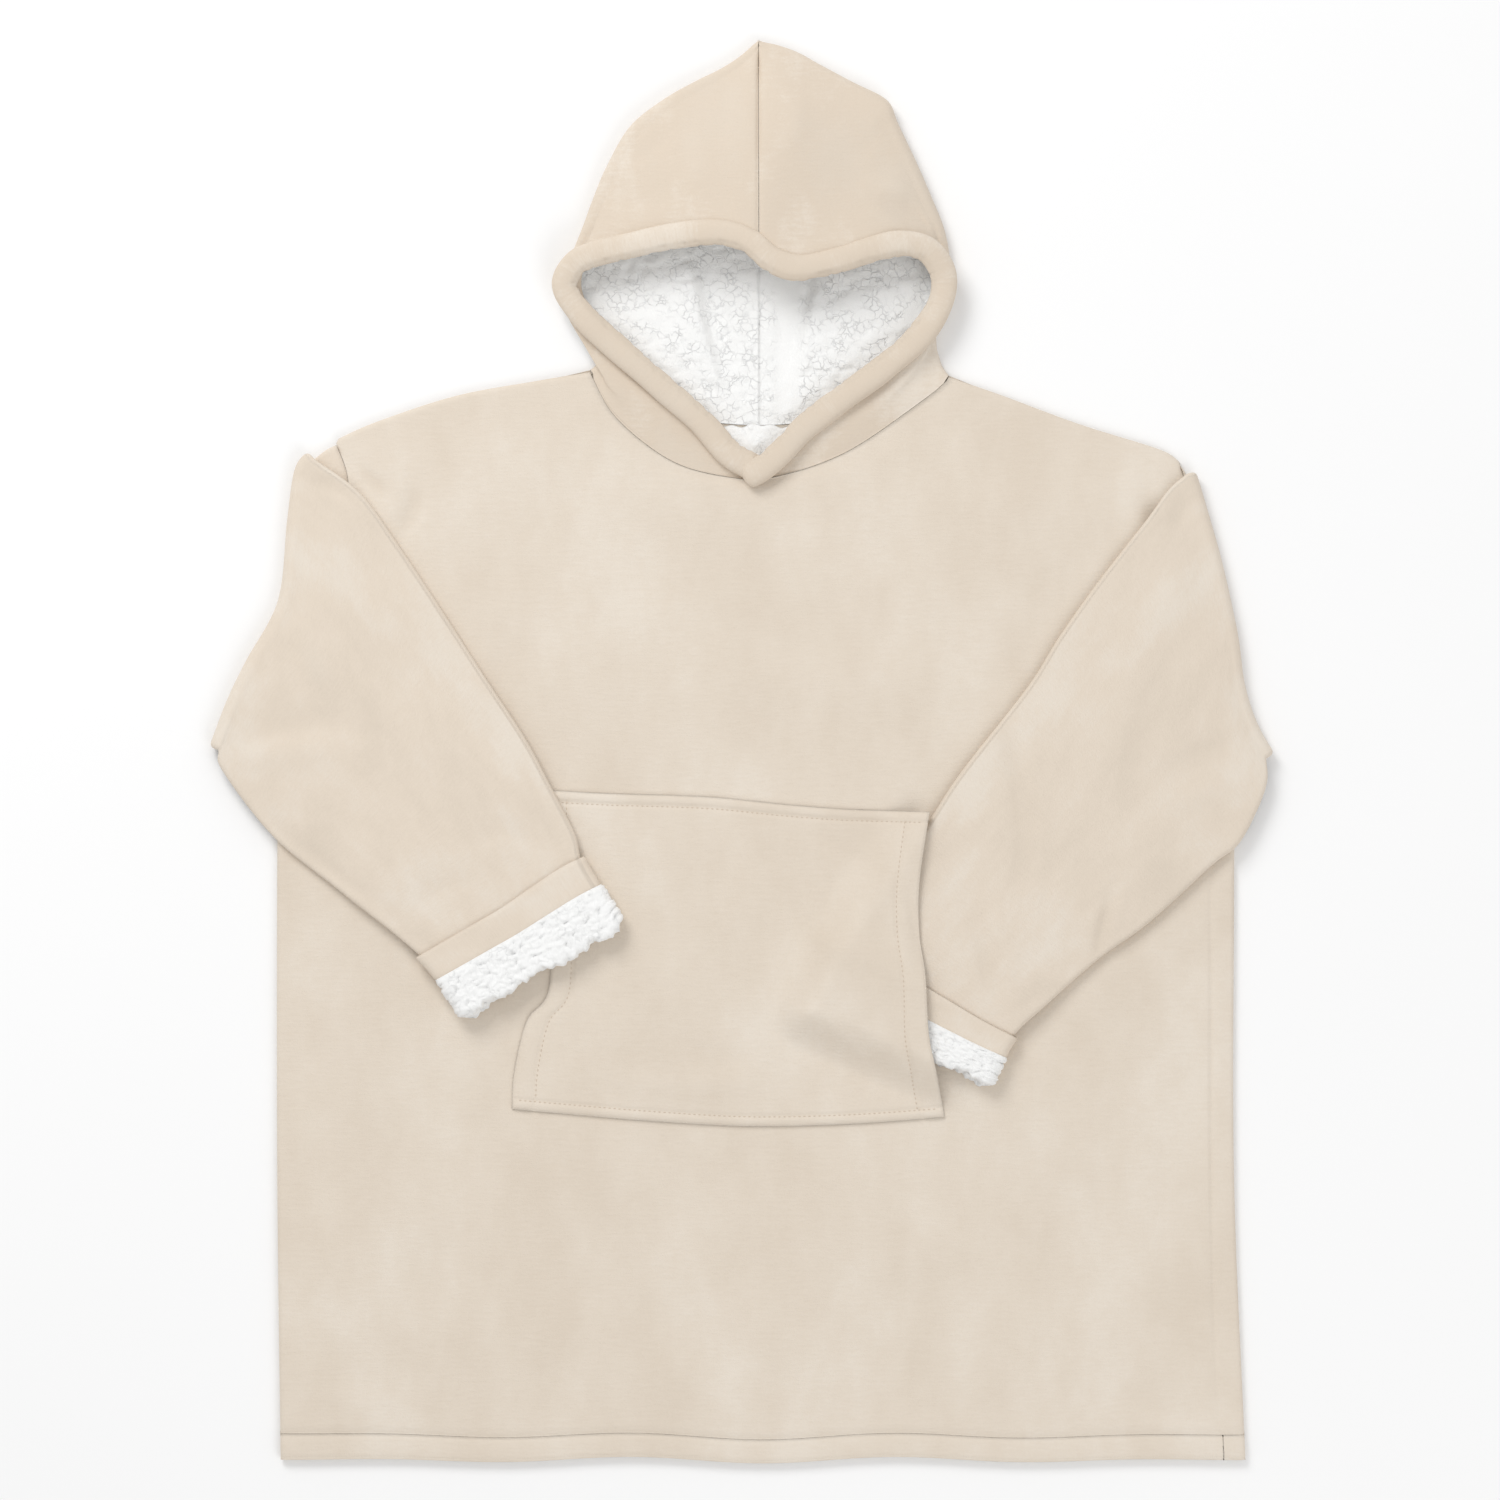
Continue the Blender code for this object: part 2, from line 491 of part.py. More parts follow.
def hood_surface(table, turn, depth):
    """One surface of a hood half, at a depth inside its outer face.

    A row goes from the seam under the back, out along the floor, round the outline's roll and
    over the top to the face opening or the top seam.
    """
    table = np.array(table, dtype=float)
    centre = HOOD_CENTRE - turn * SEAM_GAP / 2
    radius = table[:, 5]
    outline, top_edge = table[:, 0:2], table[:, 2:4].copy()
    outward = side_normals(outline, turn)
    outward[0] = (-turn * NECK_POINT_NORMAL[0], NECK_POINT_NORMAL[1])
    outward[-1] = (0.0, 1.0)
    curl_centre = outline - outward * radius[:, None]
    curl_centre[-1, 0] = centre
    on_seam = top_edge[:, 0] == HOOD_CENTRE
    top_edge[on_seam, 0] = centre
    rows = len(table)
    up = np.linspace(0, 1, rows)
    run_in = np.linspace(0, 1, HOOD_BOTTOM_COLUMNS + 1)
    run_over = np.linspace(0, 1, HOOD_TOP_COLUMNS + 1)

    half = 0.5 * run_in if turn > 0 else 1 - 0.5 * run_in
    back_neck = neck_curve(BACK_NECK, half)[::-1]
    back_neck[:, 1] += SEAM_GAP
    back_neck[0, 0] = centre
    curl_centre[0] = back_neck[-1]
    seam_y = back_neck[0, 1] + (HOOD_TIP - back_neck[0, 1]) * up
    seam_under = np.column_stack([np.full(rows, centre), seam_y])
    tip_under = (1 - run_in[:, None]) * seam_under[-1] + run_in[:, None] * curl_centre[-1]
    bottom = coons(seam_under, curl_centre, back_neck, tip_under, run_in, up)
    bottom = np.dstack([bottom, np.full(bottom.shape[:2], depth)])

    reach = HOOD_TOP_COLUMNS / FRONT_COLUMNS * run_over
    front_neck = neck_curve(FRONT_NECK, reach if turn > 0 else 1 - reach)
    front_neck[:, 1] += SEAM_GAP
    front_neck[0] = curl_centre[0]
    top_edge[0] = front_neck[-1]
    tip_over = (1 - run_over[:, None]) * curl_centre[-1] + run_over[:, None] * top_edge[-1]
    plan = coons(curl_centre, top_edge, front_neck, tip_over, run_over, up)
    swell = 1 - (1 - run_over[None, :]) ** 1.7
    height = 2 * radius[:, None] + (table[:, 4] - 2 * radius)[:, None] * swell
    top = np.dstack([plan, height - depth])

    angles = np.linspace(-math.pi / 2, math.pi / 2, HOOD_CURL_STEPS + 1)[1:-1]
    inner = (radius - depth)[:, None]
    xy = curl_centre[:, None] + outward[:, None] * (inner * np.cos(angles))[:, :, None]
    curl = np.dstack([xy, radius[:, None] + inner * np.sin(angles)])
    return np.concatenate([bottom, curl, top], axis=1)


def make_hood():
    """Both halves of the hood and of its lining."""
    lining_out = HOOD_OUTER_WALL + SEAM_GAP
    for side, table, turn in (("right", RIGHT_HOOD, 1), ("left", LEFT_HOOD, -1)):
        panel("hood_" + side, hood_surface(table, turn, 0.0),
              hood_surface(table, turn, HOOD_OUTER_WALL), FLANNEL)
        panel("hood_lining_" + side, hood_surface(table, turn, lining_out),
              hood_surface(table, turn, lining_out + HOOD_LINING_WALL), SHERPA)


def make_binding():
    """The stuffed binding: an oval roll along the face opening, mitred at the V."""
    line = at_shares(smooth_curve(BINDING_PATH), np.linspace(0, 1, BINDING_STATIONS + 1))
    tangent = np.gradient(line, axis=0)
    tangent[0] = tangent[-1] = (1.0, 0.0, 0.0)
    tangent[0, 0] = -1.0
    side = np.column_stack([-tangent[:, 1], tangent[:, 0], np.zeros(len(line))])
    side /= np.linalg.norm(side, axis=1)[:, None]
    angles = np.linspace(0, math.tau, BINDING_SIDES, endpoint=False)
    width = BINDING_HALF_WIDTH * np.cos(angles)[None, :, None]
    height = BINDING_HALF_HEIGHT * np.sin(angles)[None, :, None]
    rings = line[:, None] + side[:, None] * width + np.array((0.0, 0.0, 1.0)) * height
    sides = BINDING_SIDES
    faces = []
    for ring in range(BINDING_STATIONS):
        for k in range(sides):
            beside = (k + 1) % sides
            faces.append([ring * sides + k, ring * sides + beside,
                          (ring + 1) * sides + beside, (ring + 1) * sides + k])
    faces.append(list(range(sides)))
    faces.append([BINDING_STATIONS * sides + k for k in range(sides)])
    new_object("hood_binding", rings.reshape(-1, 3), faces, FLANNEL)


def make_neck_lining():
    """The facing that shows between the back neck seam and the V."""
    rows = []
    for right_x, right_y, left_x, left_y in NECK_LINING_ROWS:
        share = np.linspace(0, 1, 5)[:, None]
        rows.append((1 - share) * (right_x, right_y) + share * (left_x, left_y))
    plan = np.stack(rows)
    floor = np.full(plan.shape[:2], WALL + SEAM_GAP)
    panel("neck_lining", np.dstack([plan, floor + NECK_LINING_WALL]), np.dstack([plan, floor]), SHERPA)


def centre_on_floor():
    """Move every piece alike, so that the whole lies centred with its lowest point at zero."""
    made = list(bpy.context.scene.objects)
    corners = []
    for thing in made:
        points = np.empty(len(thing.data.vertices) * 3, dtype=np.float32)
        thing.data.vertices.foreach_get("co", points)
        points = points.reshape(-1, 3)
        corners += [points.min(axis=0), points.max(axis=0)]
    low, high = np.min(corners, axis=0), np.max(corners, axis=0)
    shift = -np.array([(low[0] + high[0]) / 2, (low[1] + high[1]) / 2, low[2]])
    for thing in made:
        for vertex in thing.data.vertices:
            vertex.co.x += shift[0]
            vertex.co.y += shift[1]
            vertex.co.z += shift[2]


def main():
    """Build every piece of the hoodie."""
    for thing in list(bpy.data.objects):
        bpy.data.objects.remove(thing, do_unlink=True)
    make_body()
    make_sleeve("right", Sleeve(RIGHT_BODY, RIGHT_FOLD, RIGHT_UPPER_EDGE, RIGHT_LOWER_EDGE,
                                RIGHT_SLEEVE_RISE, RIGHT_CUFF, 1))
    make_sleeve("left", Sleeve(LEFT_BODY, LEFT_FOLD, LEFT_UPPER_EDGE, LEFT_LOWER_EDGE,
                               LEFT_SLEEVE_RISE, LEFT_CUFF, -1))
    make_pocket()
    make_hood()
    make_binding()
    make_neck_lining()
    centre_on_floor()


main()
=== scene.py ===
"""Looks of a wearable blanket hoodie that lies flat on its back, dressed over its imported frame.

The garment's tables are in millimetres: x to the wearer's left, y towards the hood and z up from the
floor. The wearer's right side is at -x. Each piece of cloth is a closed shell between two grids of
points, worked out from the same named sizes as the solids and finished with its own folds and pile.
"""
from __future__ import annotations

import logging
import math
from dataclasses import dataclass, field, replace
from enum import Enum

import bpy
import numpy as np
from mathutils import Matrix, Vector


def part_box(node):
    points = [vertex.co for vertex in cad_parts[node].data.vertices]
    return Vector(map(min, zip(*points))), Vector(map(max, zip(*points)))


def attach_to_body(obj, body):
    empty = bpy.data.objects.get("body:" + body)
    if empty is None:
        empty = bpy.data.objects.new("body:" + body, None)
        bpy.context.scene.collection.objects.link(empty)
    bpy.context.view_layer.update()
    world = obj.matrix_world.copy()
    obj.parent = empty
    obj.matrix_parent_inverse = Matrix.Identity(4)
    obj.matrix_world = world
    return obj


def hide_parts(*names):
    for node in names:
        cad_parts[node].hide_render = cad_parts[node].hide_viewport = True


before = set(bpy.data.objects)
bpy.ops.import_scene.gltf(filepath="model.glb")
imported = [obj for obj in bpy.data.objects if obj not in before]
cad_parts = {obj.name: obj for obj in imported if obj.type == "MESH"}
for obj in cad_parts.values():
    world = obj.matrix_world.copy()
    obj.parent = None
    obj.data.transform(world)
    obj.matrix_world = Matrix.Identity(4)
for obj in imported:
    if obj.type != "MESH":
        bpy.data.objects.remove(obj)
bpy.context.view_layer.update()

LOG = logging.getLogger("hoodie")
MM = 0.001

# Where the tables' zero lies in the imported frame, millimetres
TABLE_ZERO = np.array([-0.10, -1.97, 0.0])

# Cloth, millimetres
WALL = 4.0
SEAM_GAP = 0.3
EDGE_RADIUS = 4.4
FOLD_RADIUS = 4.7
LAYER_TOP = 2 * EDGE_RADIUS


# Curves and grids

def smooth_curve(points: np.ndarray, per_span: int = 12) -> np.ndarray:
    """Dense points of a Catmull-Rom curve: each span is the usual cubic of its four nearest knots.

    Args:
        points: The knots, one row each, with any number of columns.
        per_span: Points worked out between two knots.

    Returns:
        The dense curve, which starts and ends on the first and last knot.
    """
    knots = np.asarray(points, dtype=float)
    padded = np.vstack([2 * knots[0] - knots[1], knots, 2 * knots[-1] - knots[-2]])
    a, b, c, d = (padded[k:len(knots) - 1 + k, None] for k in range(4))
    t = np.linspace(0.0, 1.0, per_span, endpoint=False)[None, :, None]
    cubic = (3 * b - a - 3 * c + d) * t ** 3
    square = (2 * a - 5 * b + 4 * c - d) * t ** 2
    spans = 0.5 * (2 * b + (c - a) * t + square + cubic)
    return np.vstack([spans.reshape(-1, knots.shape[1]), knots[-1:]])


def along_curve(dense: np.ndarray) -> np.ndarray:
    """Running length at each point of a dense curve, from 0 to 1."""
    steps = np.linalg.norm(np.diff(dense[:, :2], axis=0), axis=1)
    run = np.concatenate(([0.0], np.cumsum(steps)))
    return run / run[-1]


def at_shares(dense: np.ndarray, shares: np.ndarray) -> np.ndarray:
    """Points of a dense curve at the given shares of its plan length.

    Args:
        dense: The curve's points.
        shares: Shares of its length, 0 to 1.

    Returns:
        One point for each share.
    """
    run = along_curve(dense)
    return np.column_stack([np.interp(shares, run, column) for column in dense.T])


def side_normals(points: np.ndarray, turn: int) -> np.ndarray:
    """Unit normals of a plan curve: its tangent turned by a right angle.

    Args:
        points: The curve's points, x and y.
        turn: +1 for the left of its direction and -1 for the right.

    Returns:
        One unit vector for each point.
    """
    tangent = np.gradient(points, axis=0)
    normal = np.column_stack([-turn * tangent[:, 1], turn * tangent[:, 0]])
    return normal / np.linalg.norm(normal, axis=1)[:, None]


def coons(start: np.ndarray, end: np.ndarray, low: np.ndarray, high: np.ndarray,
          across: np.ndarray, up: np.ndarray) -> np.ndarray:
    """A plan patch between four borders: the two ruled surfaces less the bilinear one of the corners.

    Args:
        start: Border at across = 0, a point for each value of up.
        end: Border at across = 1.
        low: Border at up = 0, a point for each value of across.
        high: Border at up = 1.
        across: Parameters of the columns.
        up: Parameters of the rows.

    Returns:
        A grid of rows by columns by 2.
    """
    a = np.asarray(across)[None, :, None]
    b = np.asarray(up)[:, None, None]
    sideways = (1 - a) * start[:, None] + a * end[:, None]
    upwards = (1 - b) * low[None] + b * high[None]
    corners = (1 - b) * ((1 - a) * low[0] + a * low[-1]) + b * ((1 - a) * high[0] + a * high[-1])
    return sideways + upwards - corners


def ease(value: np.ndarray) -> np.ndarray:
    """A smooth step from 0 to 1: three squares less two cubes of the clipped value."""
    inside = np.clip(value, 0.0, 1.0)
    return inside * inside * (3 - 2 * inside)


def grid_normals(grid: np.ndarray, rows_close: bool = False, columns_close: bool = False) -> np.ndarray:
    """Unit normals of a grid: the cross product of its steps along the columns and the rows.

    Args:
        grid: Points, rows by columns by 3.
        rows_close: The last row joins the first.
        columns_close: The last column joins the first.

    Returns:
        A normal for each point, on the side that column step cross row step gives.
    """
    def step(axis: int, closes: bool) -> np.ndarray:
        """Difference of the neighbours along one axis."""
        if closes:
            return np.roll(grid, -1, axis=axis) - np.roll(grid, 1, axis=axis)
        return np.gradient(grid, axis=axis)

    normal = np.cross(step(1, columns_close), step(0, rows_close))
    return normal / np.maximum(np.linalg.norm(normal, axis=2), 1e-9)[:, :, None]


# Uneven surfaces

class Noise:
    """Smooth random heights on a plan, the same on each run."""

    def __init__(self, seed: int) -> None:
        """Draw the lattice of random values.

        Args:
            seed: Seed of the lattice.
        """
        self.lattice = np.random.default_rng(seed).uniform(-1.0, 1.0, (257, 257))

    def __call__(self, x: np.ndarray, y: np.ndarray, cell: float) -> np.ndarray:
        """Heights from -1 to 1: lattice values blended by an eased step in x and in y.

        Args:
            x: Plan positions, millimetres.
            y: Plan positions, millimetres.
            cell: Size of a lattice cell, millimetres.

        Returns:
            A height for each position.
        """
        u, v = x / cell + 97.3, y / cell + 61.7
        column, row = np.floor(u).astype(int), np.floor(v).astype(int)
        a, b = ease(u - column), ease(v - row)
        column, row = column % 256, row % 256
        low = self.lattice[row, column] * (1 - a) + self.lattice[row, column + 1] * a
        high = self.lattice[row + 1, column] * (1 - a) + self.lattice[row + 1, column + 1] * a
        return low * (1 - b) + high * b


WAVES = Noise(7)
FINE = Noise(23)


def cloth_lie(x: np.ndarray, y: np.ndarray) -> np.ndarray:
    """How much the front and all that lies on it rise and dip, millimetres.

    The sum of two smooth noises, long and short, lifted to stay above zero and faded out towards the
    sides, the hem and the neck.
    """
    fade = ease((x + 404) / 75) * ease((430 - x) / 75) * ease((y + 618) / 70) * ease((300 - y) / 90)
    return fade * (1.9 + 1.5 * WAVES(x, y, 150.0) + 0.7 * FINE(x, y, 52.0))


class Clumps:
    """Curly pile: rounded tufts round scattered centres, with low grooves between them, where the pile's finish paints
    shade.
    """

    def __init__(self, spacing: float, seed: int) -> None:
        """Scatter the centres.

        Args:
            spacing: Mean distance of the tufts, millimetres.
            seed: Seed of the scatter.
        """
        random = np.random.default_rng(seed)
        self.spacing = spacing
        self.offset = random.uniform(0.12, 0.88, (128, 128, 2))
        self.size = random.uniform(0.62, 1.0, (128, 128))

    def __call__(self, u: np.ndarray, v: np.ndarray) -> np.ndarray:
        """Tuft height from 0 to 1: the highest of the domes of the nine nearest centres.

        Args:
            u: Positions along the cloth, millimetres.
            v: Positions across the cloth, millimetres.

        Returns:
            A height for each position.
        """
        warp = 0.32 * self.spacing
        u = u + warp * FINE(u, v, self.spacing * 0.8)
        v = v + warp * WAVES(u, v, self.spacing * 0.8)
        column, row = np.floor(u / self.spacing).astype(int), np.floor(v / self.spacing).astype(int)
        best = np.zeros_like(u)
        for down in (-1, 0, 1):
            for beside in (-1, 0, 1):
                i, j = (row + down) % 128, (column + beside) % 128
                centre_u = (column + beside + self.offset[i, j, 0]) * self.spacing
                centre_v = (row + down + self.offset[i, j, 1]) * self.spacing
                apart = np.hypot(u - centre_u, v - centre_v) / (0.78 * self.spacing)
                dome = self.size[i, j] * np.sqrt(np.clip(1 - apart ** 2, 0, None))
                best = np.maximum(best, dome)
        return best


@dataclass(frozen=True)
class Fold:
    """One soft trough or ridge on a piece of cloth, millimetres.

    Attributes:
        path: Plan points that it follows.
        depth: Height at its deepest, below zero for a trough.
        width: Half width at which it has mostly faded.
        lean: How much wider it is on the left of its direction than on the right.
    """

    path: tuple[tuple[float, float], ...]
    depth: float
    width: float
    lean: float = 1.0

    def height(self, x: np.ndarray, y: np.ndarray) -> np.ndarray:
        """Depth times a bell of the distance over the width, tapered at both ends and made uneven.

        Args:
            x: Plan positions.
            y: Plan positions.

        Returns:
            A height for each position.
        """
        line = smooth_curve(np.array(self.path), 5)
        run = along_curve(line)
        nearest = np.full(x.shape, 1e9)
        share = np.zeros(x.shape)
        side = np.zeros(x.shape)
        for start, end, first, last in zip(line, line[1:], run, run[1:]):
            along = end - start
            reach = np.clip(((x - start[0]) * along[0] + (y - start[1]) * along[1]) / (along @ along), 0, 1)
            off_x, off_y = x - start[0] - reach * along[0], y - start[1] - reach * along[1]
            apart = np.hypot(off_x, off_y)
            closer = apart < nearest
            nearest = np.where(closer, apart, nearest)
            share = np.where(closer, first + reach * (last - first), share)
            side = np.where(closer, along[0] * off_y - along[1] * off_x, side)
        width = np.where(side > 0, self.width * self.lean, self.width)
        taper = np.sin(math.pi * np.clip(share, 0.04, 0.96)) ** 0.7
        uneven = 1 + 0.3 * FINE(share * 60 + self.path[0][0], share * 0 + self.path[0][1], 17.0)
        return self.depth * taper * uneven * np.exp(-(nearest / width) ** 2)


def folded(x: np.ndarray, y: np.ndarray, folds: tuple[Fold, ...]) -> np.ndarray:
    """The summed heights of several folds."""
    total = np.zeros(x.shape)
    for fold in folds:
        total = total + fold.height(x, y)
    return total


# Meshes and pieces

class Held(Enum):
    """How a sheet of cloth is held."""

    LAID = "laid"
    FOLDED = "folded"


@dataclass(frozen=True)
class Cut:
    """The flat cut of a sheet, all round where it is a tube.

    Attributes:
        width: Width of the cut, metres.
        length: Length of the cut, metres.
        area: Its flat area, square metres.
        held: How it is held now.
        rests_on: Names of what it lies on.
    """

    width: float
    length: float
    area: float
    held: Held
    rests_on: tuple[str, ...]


def grid_faces(rows: int, columns: int, rows_close: bool, columns_close: bool) -> np.ndarray:
    """Corner numbers of a grid's quads: each point with its next in the row and in the column.

    Args:
        rows: Rows of points.
        columns: Columns of points.
        rows_close: The last row joins the first.
        columns_close: The last column joins the first.

    Returns:
        An array of quads.
    """
    number = np.arange(rows * columns).reshape(rows, columns)
    if rows_close:
        number = np.vstack([number, number[:1]])
    if columns_close:
        number = np.hstack([number, number[:, :1]])
    corners = [number[:-1, :-1], number[:-1, 1:], number[1:, 1:], number[1:, :-1]]
    return np.stack(corners, axis=2).reshape(-1, 4)


def shell_faces(rows: int, columns: int, columns_close: bool = False) -> np.ndarray:
    """Quads of a closed shell: an outer grid, an inner grid turned over, and the rim between them.

    Args:
        rows: Rows of each grid.
        columns: Columns of each grid.
        columns_close: The last column joins the first, as on a tube.

    Returns:
        An array of quads over the outer points followed by the inner points.
    """
    outer = grid_faces(rows, columns, False, columns_close)
    number = np.arange(rows * columns).reshape(rows, columns)
    inner = outer[:, ::-1] + rows * columns
    edges = [number[0, ::-1], number[-1]]
    if not columns_close:
        edges += [number[:, 0], number[::-1, -1]]
    rims = []
    for edge in edges:
        if columns_close:
            edge = np.append(edge, edge[0])
        far = edge + rows * columns
        rims.append(np.column_stack([edge[:-1], far[:-1], far[1:], edge[1:]]))
    return np.vstack([outer, inner, *rims])


def make_mesh(name: str, points: np.ndarray, quads: np.ndarray) -> bpy.types.Mesh:
    """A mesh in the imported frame, with its faces outwards: turned over if its volume is negative.

    Args:
        name: Name of the mesh.
        points: Points in table millimetres, any shape that ends in 3.
        quads: Corner numbers, four a face.

    Returns:
        The mesh, in metres.
    """
    flat = (points.reshape(-1, 3) + TABLE_ZERO) * MM
    a, b, c, d = (flat[quads[:, k]] for k in range(4))
    volume = np.sum(a * np.cross(b, c)) + np.sum(a * np.cross(c, d))
    if volume < 0:
        quads = quads[:, ::-1]
    mesh = bpy.data.meshes.new(name)
    mesh.vertices.add(len(flat))
    mesh.vertices.foreach_set("co", flat.astype(np.float32).ravel())
    mesh.loops.add(quads.size)
    mesh.loops.foreach_set("vertex_index", quads.astype(np.int32).ravel())
    mesh.polygons.add(len(quads))
    mesh.polygons.foreach_set("loop_start", np.arange(0, quads.size, 4, dtype=np.int32))
    mesh.update(calc_edges=True)
    mesh.validate()
    mesh.shade_smooth()
    return mesh


def paint(mesh: bpy.types.Mesh, name: str, values: np.ndarray) -> None:
    """Write one number a point into a named attribute of the mesh.

    Args:
        mesh: The mesh.
        name: Name that the material reads.
        values: One number for each of the first points; the rest stay at 0.5.
    """
    full = np.full(len(mesh.vertices), 0.5, dtype=np.float32)
    full[:values.size] = values.ravel()
    mesh.attributes.new(name, "FLOAT", "POINT").data.foreach_set("value", full)


def lay_out(mesh: bpy.types.Mesh, u: np.ndarray, v: np.ndarray) -> None:
    """Write where each point lies on the unfolded cloth, in metres, for the pile to follow.

    Args:
        mesh: The mesh.
        u: Place across the cloth, millimetres, for each point.
        v: Place along the cloth, millimetres, for each point.
    """
    place = np.zeros((len(mesh.vertices), 3), dtype=np.float32)
    place[:u.size, 0] = u.ravel() * MM
    place[:v.size, 1] = v.ravel() * MM
    rest = len(place) - u.size
    place[u.size:] = place[:rest]
    mesh.attributes.new("cloth_at", "FLOAT_VECTOR", "POINT").data.foreach_set("vector", place.ravel())


def place_piece(mesh: bpy.types.Mesh, material: bpy.types.Material, slot: str, *nodes: str) -> bpy.types.Object:
    """Put a finished mesh in the scene, riding on the body and standing for its solids.

    Args:
        mesh: The mesh, whose name the piece takes.
        material: Its finish.
        slot: Name of a material slot; not used.
        nodes: The solids that it replaces.

    Returns:
        The piece.
    """
    piece = bpy.data.objects.new(mesh.name, mesh)
    bpy.context.scene.collection.objects.link(piece)
    mesh.materials.append(material)
    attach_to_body(piece, "root")
    if nodes:
        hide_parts(*nodes)
    LOG.info("%s: %d faces", piece.name, len(mesh.polygons))
    return piece


# Shader maths

class Wire:
    """A shader socket on which sums, differences, products and quotients can be written."""

    def __init__(self, tree: bpy.types.NodeTree, socket: bpy.types.NodeSocket) -> None:
        """Wrap an output socket of a node tree."""
        self.tree = tree
        self.socket = socket

    def _math(self, operation: str, first: "Wire | float", second: "Wire | float") -> "Wire":
        """Add one Math node for two values."""
        return node(self.tree, "ShaderNodeMath", {"operation": operation}, {0: first, 1: second})

    def __add__(self, other: "Wire | float") -> "Wire":
        """This value plus another."""
        return self._math("ADD", self, other)

    def __radd__(self, other: float) -> "Wire":
        """A number plus this value."""
        return self._math("ADD", other, self)

    def __sub__(self, other: "Wire | float") -> "Wire":
        """This value less another."""
        return self._math("SUBTRACT", self, other)

    def __rsub__(self, other: float) -> "Wire":
        """A number less this value."""
        return self._math("SUBTRACT", other, self)

    def __mul__(self, other: "Wire | float") -> "Wire":
        """This value times another."""
        return self._math("MULTIPLY", self, other)

    def __rmul__(self, other: float) -> "Wire":
        """A number times this value."""
        return self._math("MULTIPLY", other, self)

    def __truediv__(self, other: "Wire | float") -> "Wire":
        """This value over another."""
        return self._math("DIVIDE", self, other)

    def __rtruediv__(self, other: float) -> "Wire":
        """A number over this value."""
        return self._math("DIVIDE", other, self)

    def __pow__(self, other: "Wire | float") -> "Wire":
        """This value to a power."""
        return self._math("POWER", self, other)


def node(tree: bpy.types.NodeTree, kind: str, settings: dict[str, object], inputs: dict[object, object],
         output: int | str = 0) -> Wire:
    """Add a node of any type, set it up, and fill or link its sockets.

    Args:
        tree: The material's node tree.
        kind: Type of the node.
        settings: Properties set first; "stops" gives a colour ramp's positions and colours.
        inputs: Value or wire for each input socket, by number or name.
        output: The output socket to return.

    Returns:
        The output socket, wrapped.
    """
    made = tree.nodes.new(kind)
    for key, value in settings.items():
        if key == "stops":
            ramp = made.color_ramp.elements
            while len(ramp) < len(value):
                ramp.new(0.5)
            for element, (position, colour) in zip(ramp, value):
                element.position = position
                element.color = colour
        else:
            setattr(made, key, value)
    for key, value in inputs.items():
        if isinstance(value, Wire):
            tree.links.new(value.socket, made.inputs[key])
        else:
            made.inputs[key].default_value = value
    return Wire(tree, made.outputs[output])


def mix_colours(tree: bpy.types.NodeTree, share: Wire | float, low: object, high: object,
                blend: str = "MIX") -> Wire:
    """Blend two colours by a share, through a Mix node.

    Args:
        tree: The node tree.
        share: 0 for low and 1 for high.
        low: A colour or a wire.
        high: A colour or a wire.
        blend: The Mix node's blend type.

    Returns:
        The blended colour.
    """
    settings = {"data_type": "RGBA", "blend_type": blend, "clamp_factor": True}
    return node(tree, "ShaderNodeMix", settings, {0: share, 6: low, 7: high}, 2)


def smooth_share(tree: bpy.types.NodeTree, value: Wire, low: float, high: float) -> Wire:
    """0 below low, 1 above high and a smooth step between them."""
    return node(tree, "ShaderNodeMapRange", {"interpolation_type": "SMOOTHSTEP"},
                {0: value, 1: low, 2: high, 3: 0.0, 4: 1.0})


def stretched(tree: bpy.types.NodeTree, place: Wire, scale: tuple[float, float, float],
              turn: float = 0.0) -> Wire:
    """Coordinates scaled by axis and turned in plan, through a Mapping node."""
    return node(tree, "ShaderNodeMapping", {}, {"Vector": place, "Scale": scale,
                                                "Rotation": (0.0, 0.0, turn)})


def noise(tree: bpy.types.NodeTree, place: Wire, scale: float, detail: float, rough: float = 0.5) -> Wire:
    """Smooth noise from 0 to 1 at a scale in cells a metre."""
    return node(tree, "ShaderNodeTexNoise", {}, {"Vector": place, "Scale": scale, "Detail": detail,
                                                 "Roughness": rough})


def start_material(name: str) -> tuple[bpy.types.Material, bpy.types.NodeTree, bpy.types.Node]:
    """A new material, its node tree and its shader."""
    material = bpy.data.materials.new(name)
    material.use_nodes = True
    tree = material.node_tree
    return material, tree, tree.nodes["Principled BSDF"]


def attach(tree: bpy.types.NodeTree, shader: bpy.types.Node, links: dict[str, Wire]) -> None:
    """Link wires to a shader's sockets by name."""
    for key, wire in links.items():
        tree.links.new(wire.socket, shader.inputs[key])


def bump(tree: bpy.types.NodeTree, height: Wire, distance: float, strength: float,
         below: Wire | None = None) -> Wire:
    """A Bump node for a height from 0 to 1, on top of another bump if one is given."""
    inputs = {"Height": height, "Distance": distance, "Strength": strength}
    if below is not None:
        inputs["Normal"] = below
    return node(tree, "ShaderNodeBump", {}, inputs)


# Finishes

Colour = tuple[float, float, float, float]


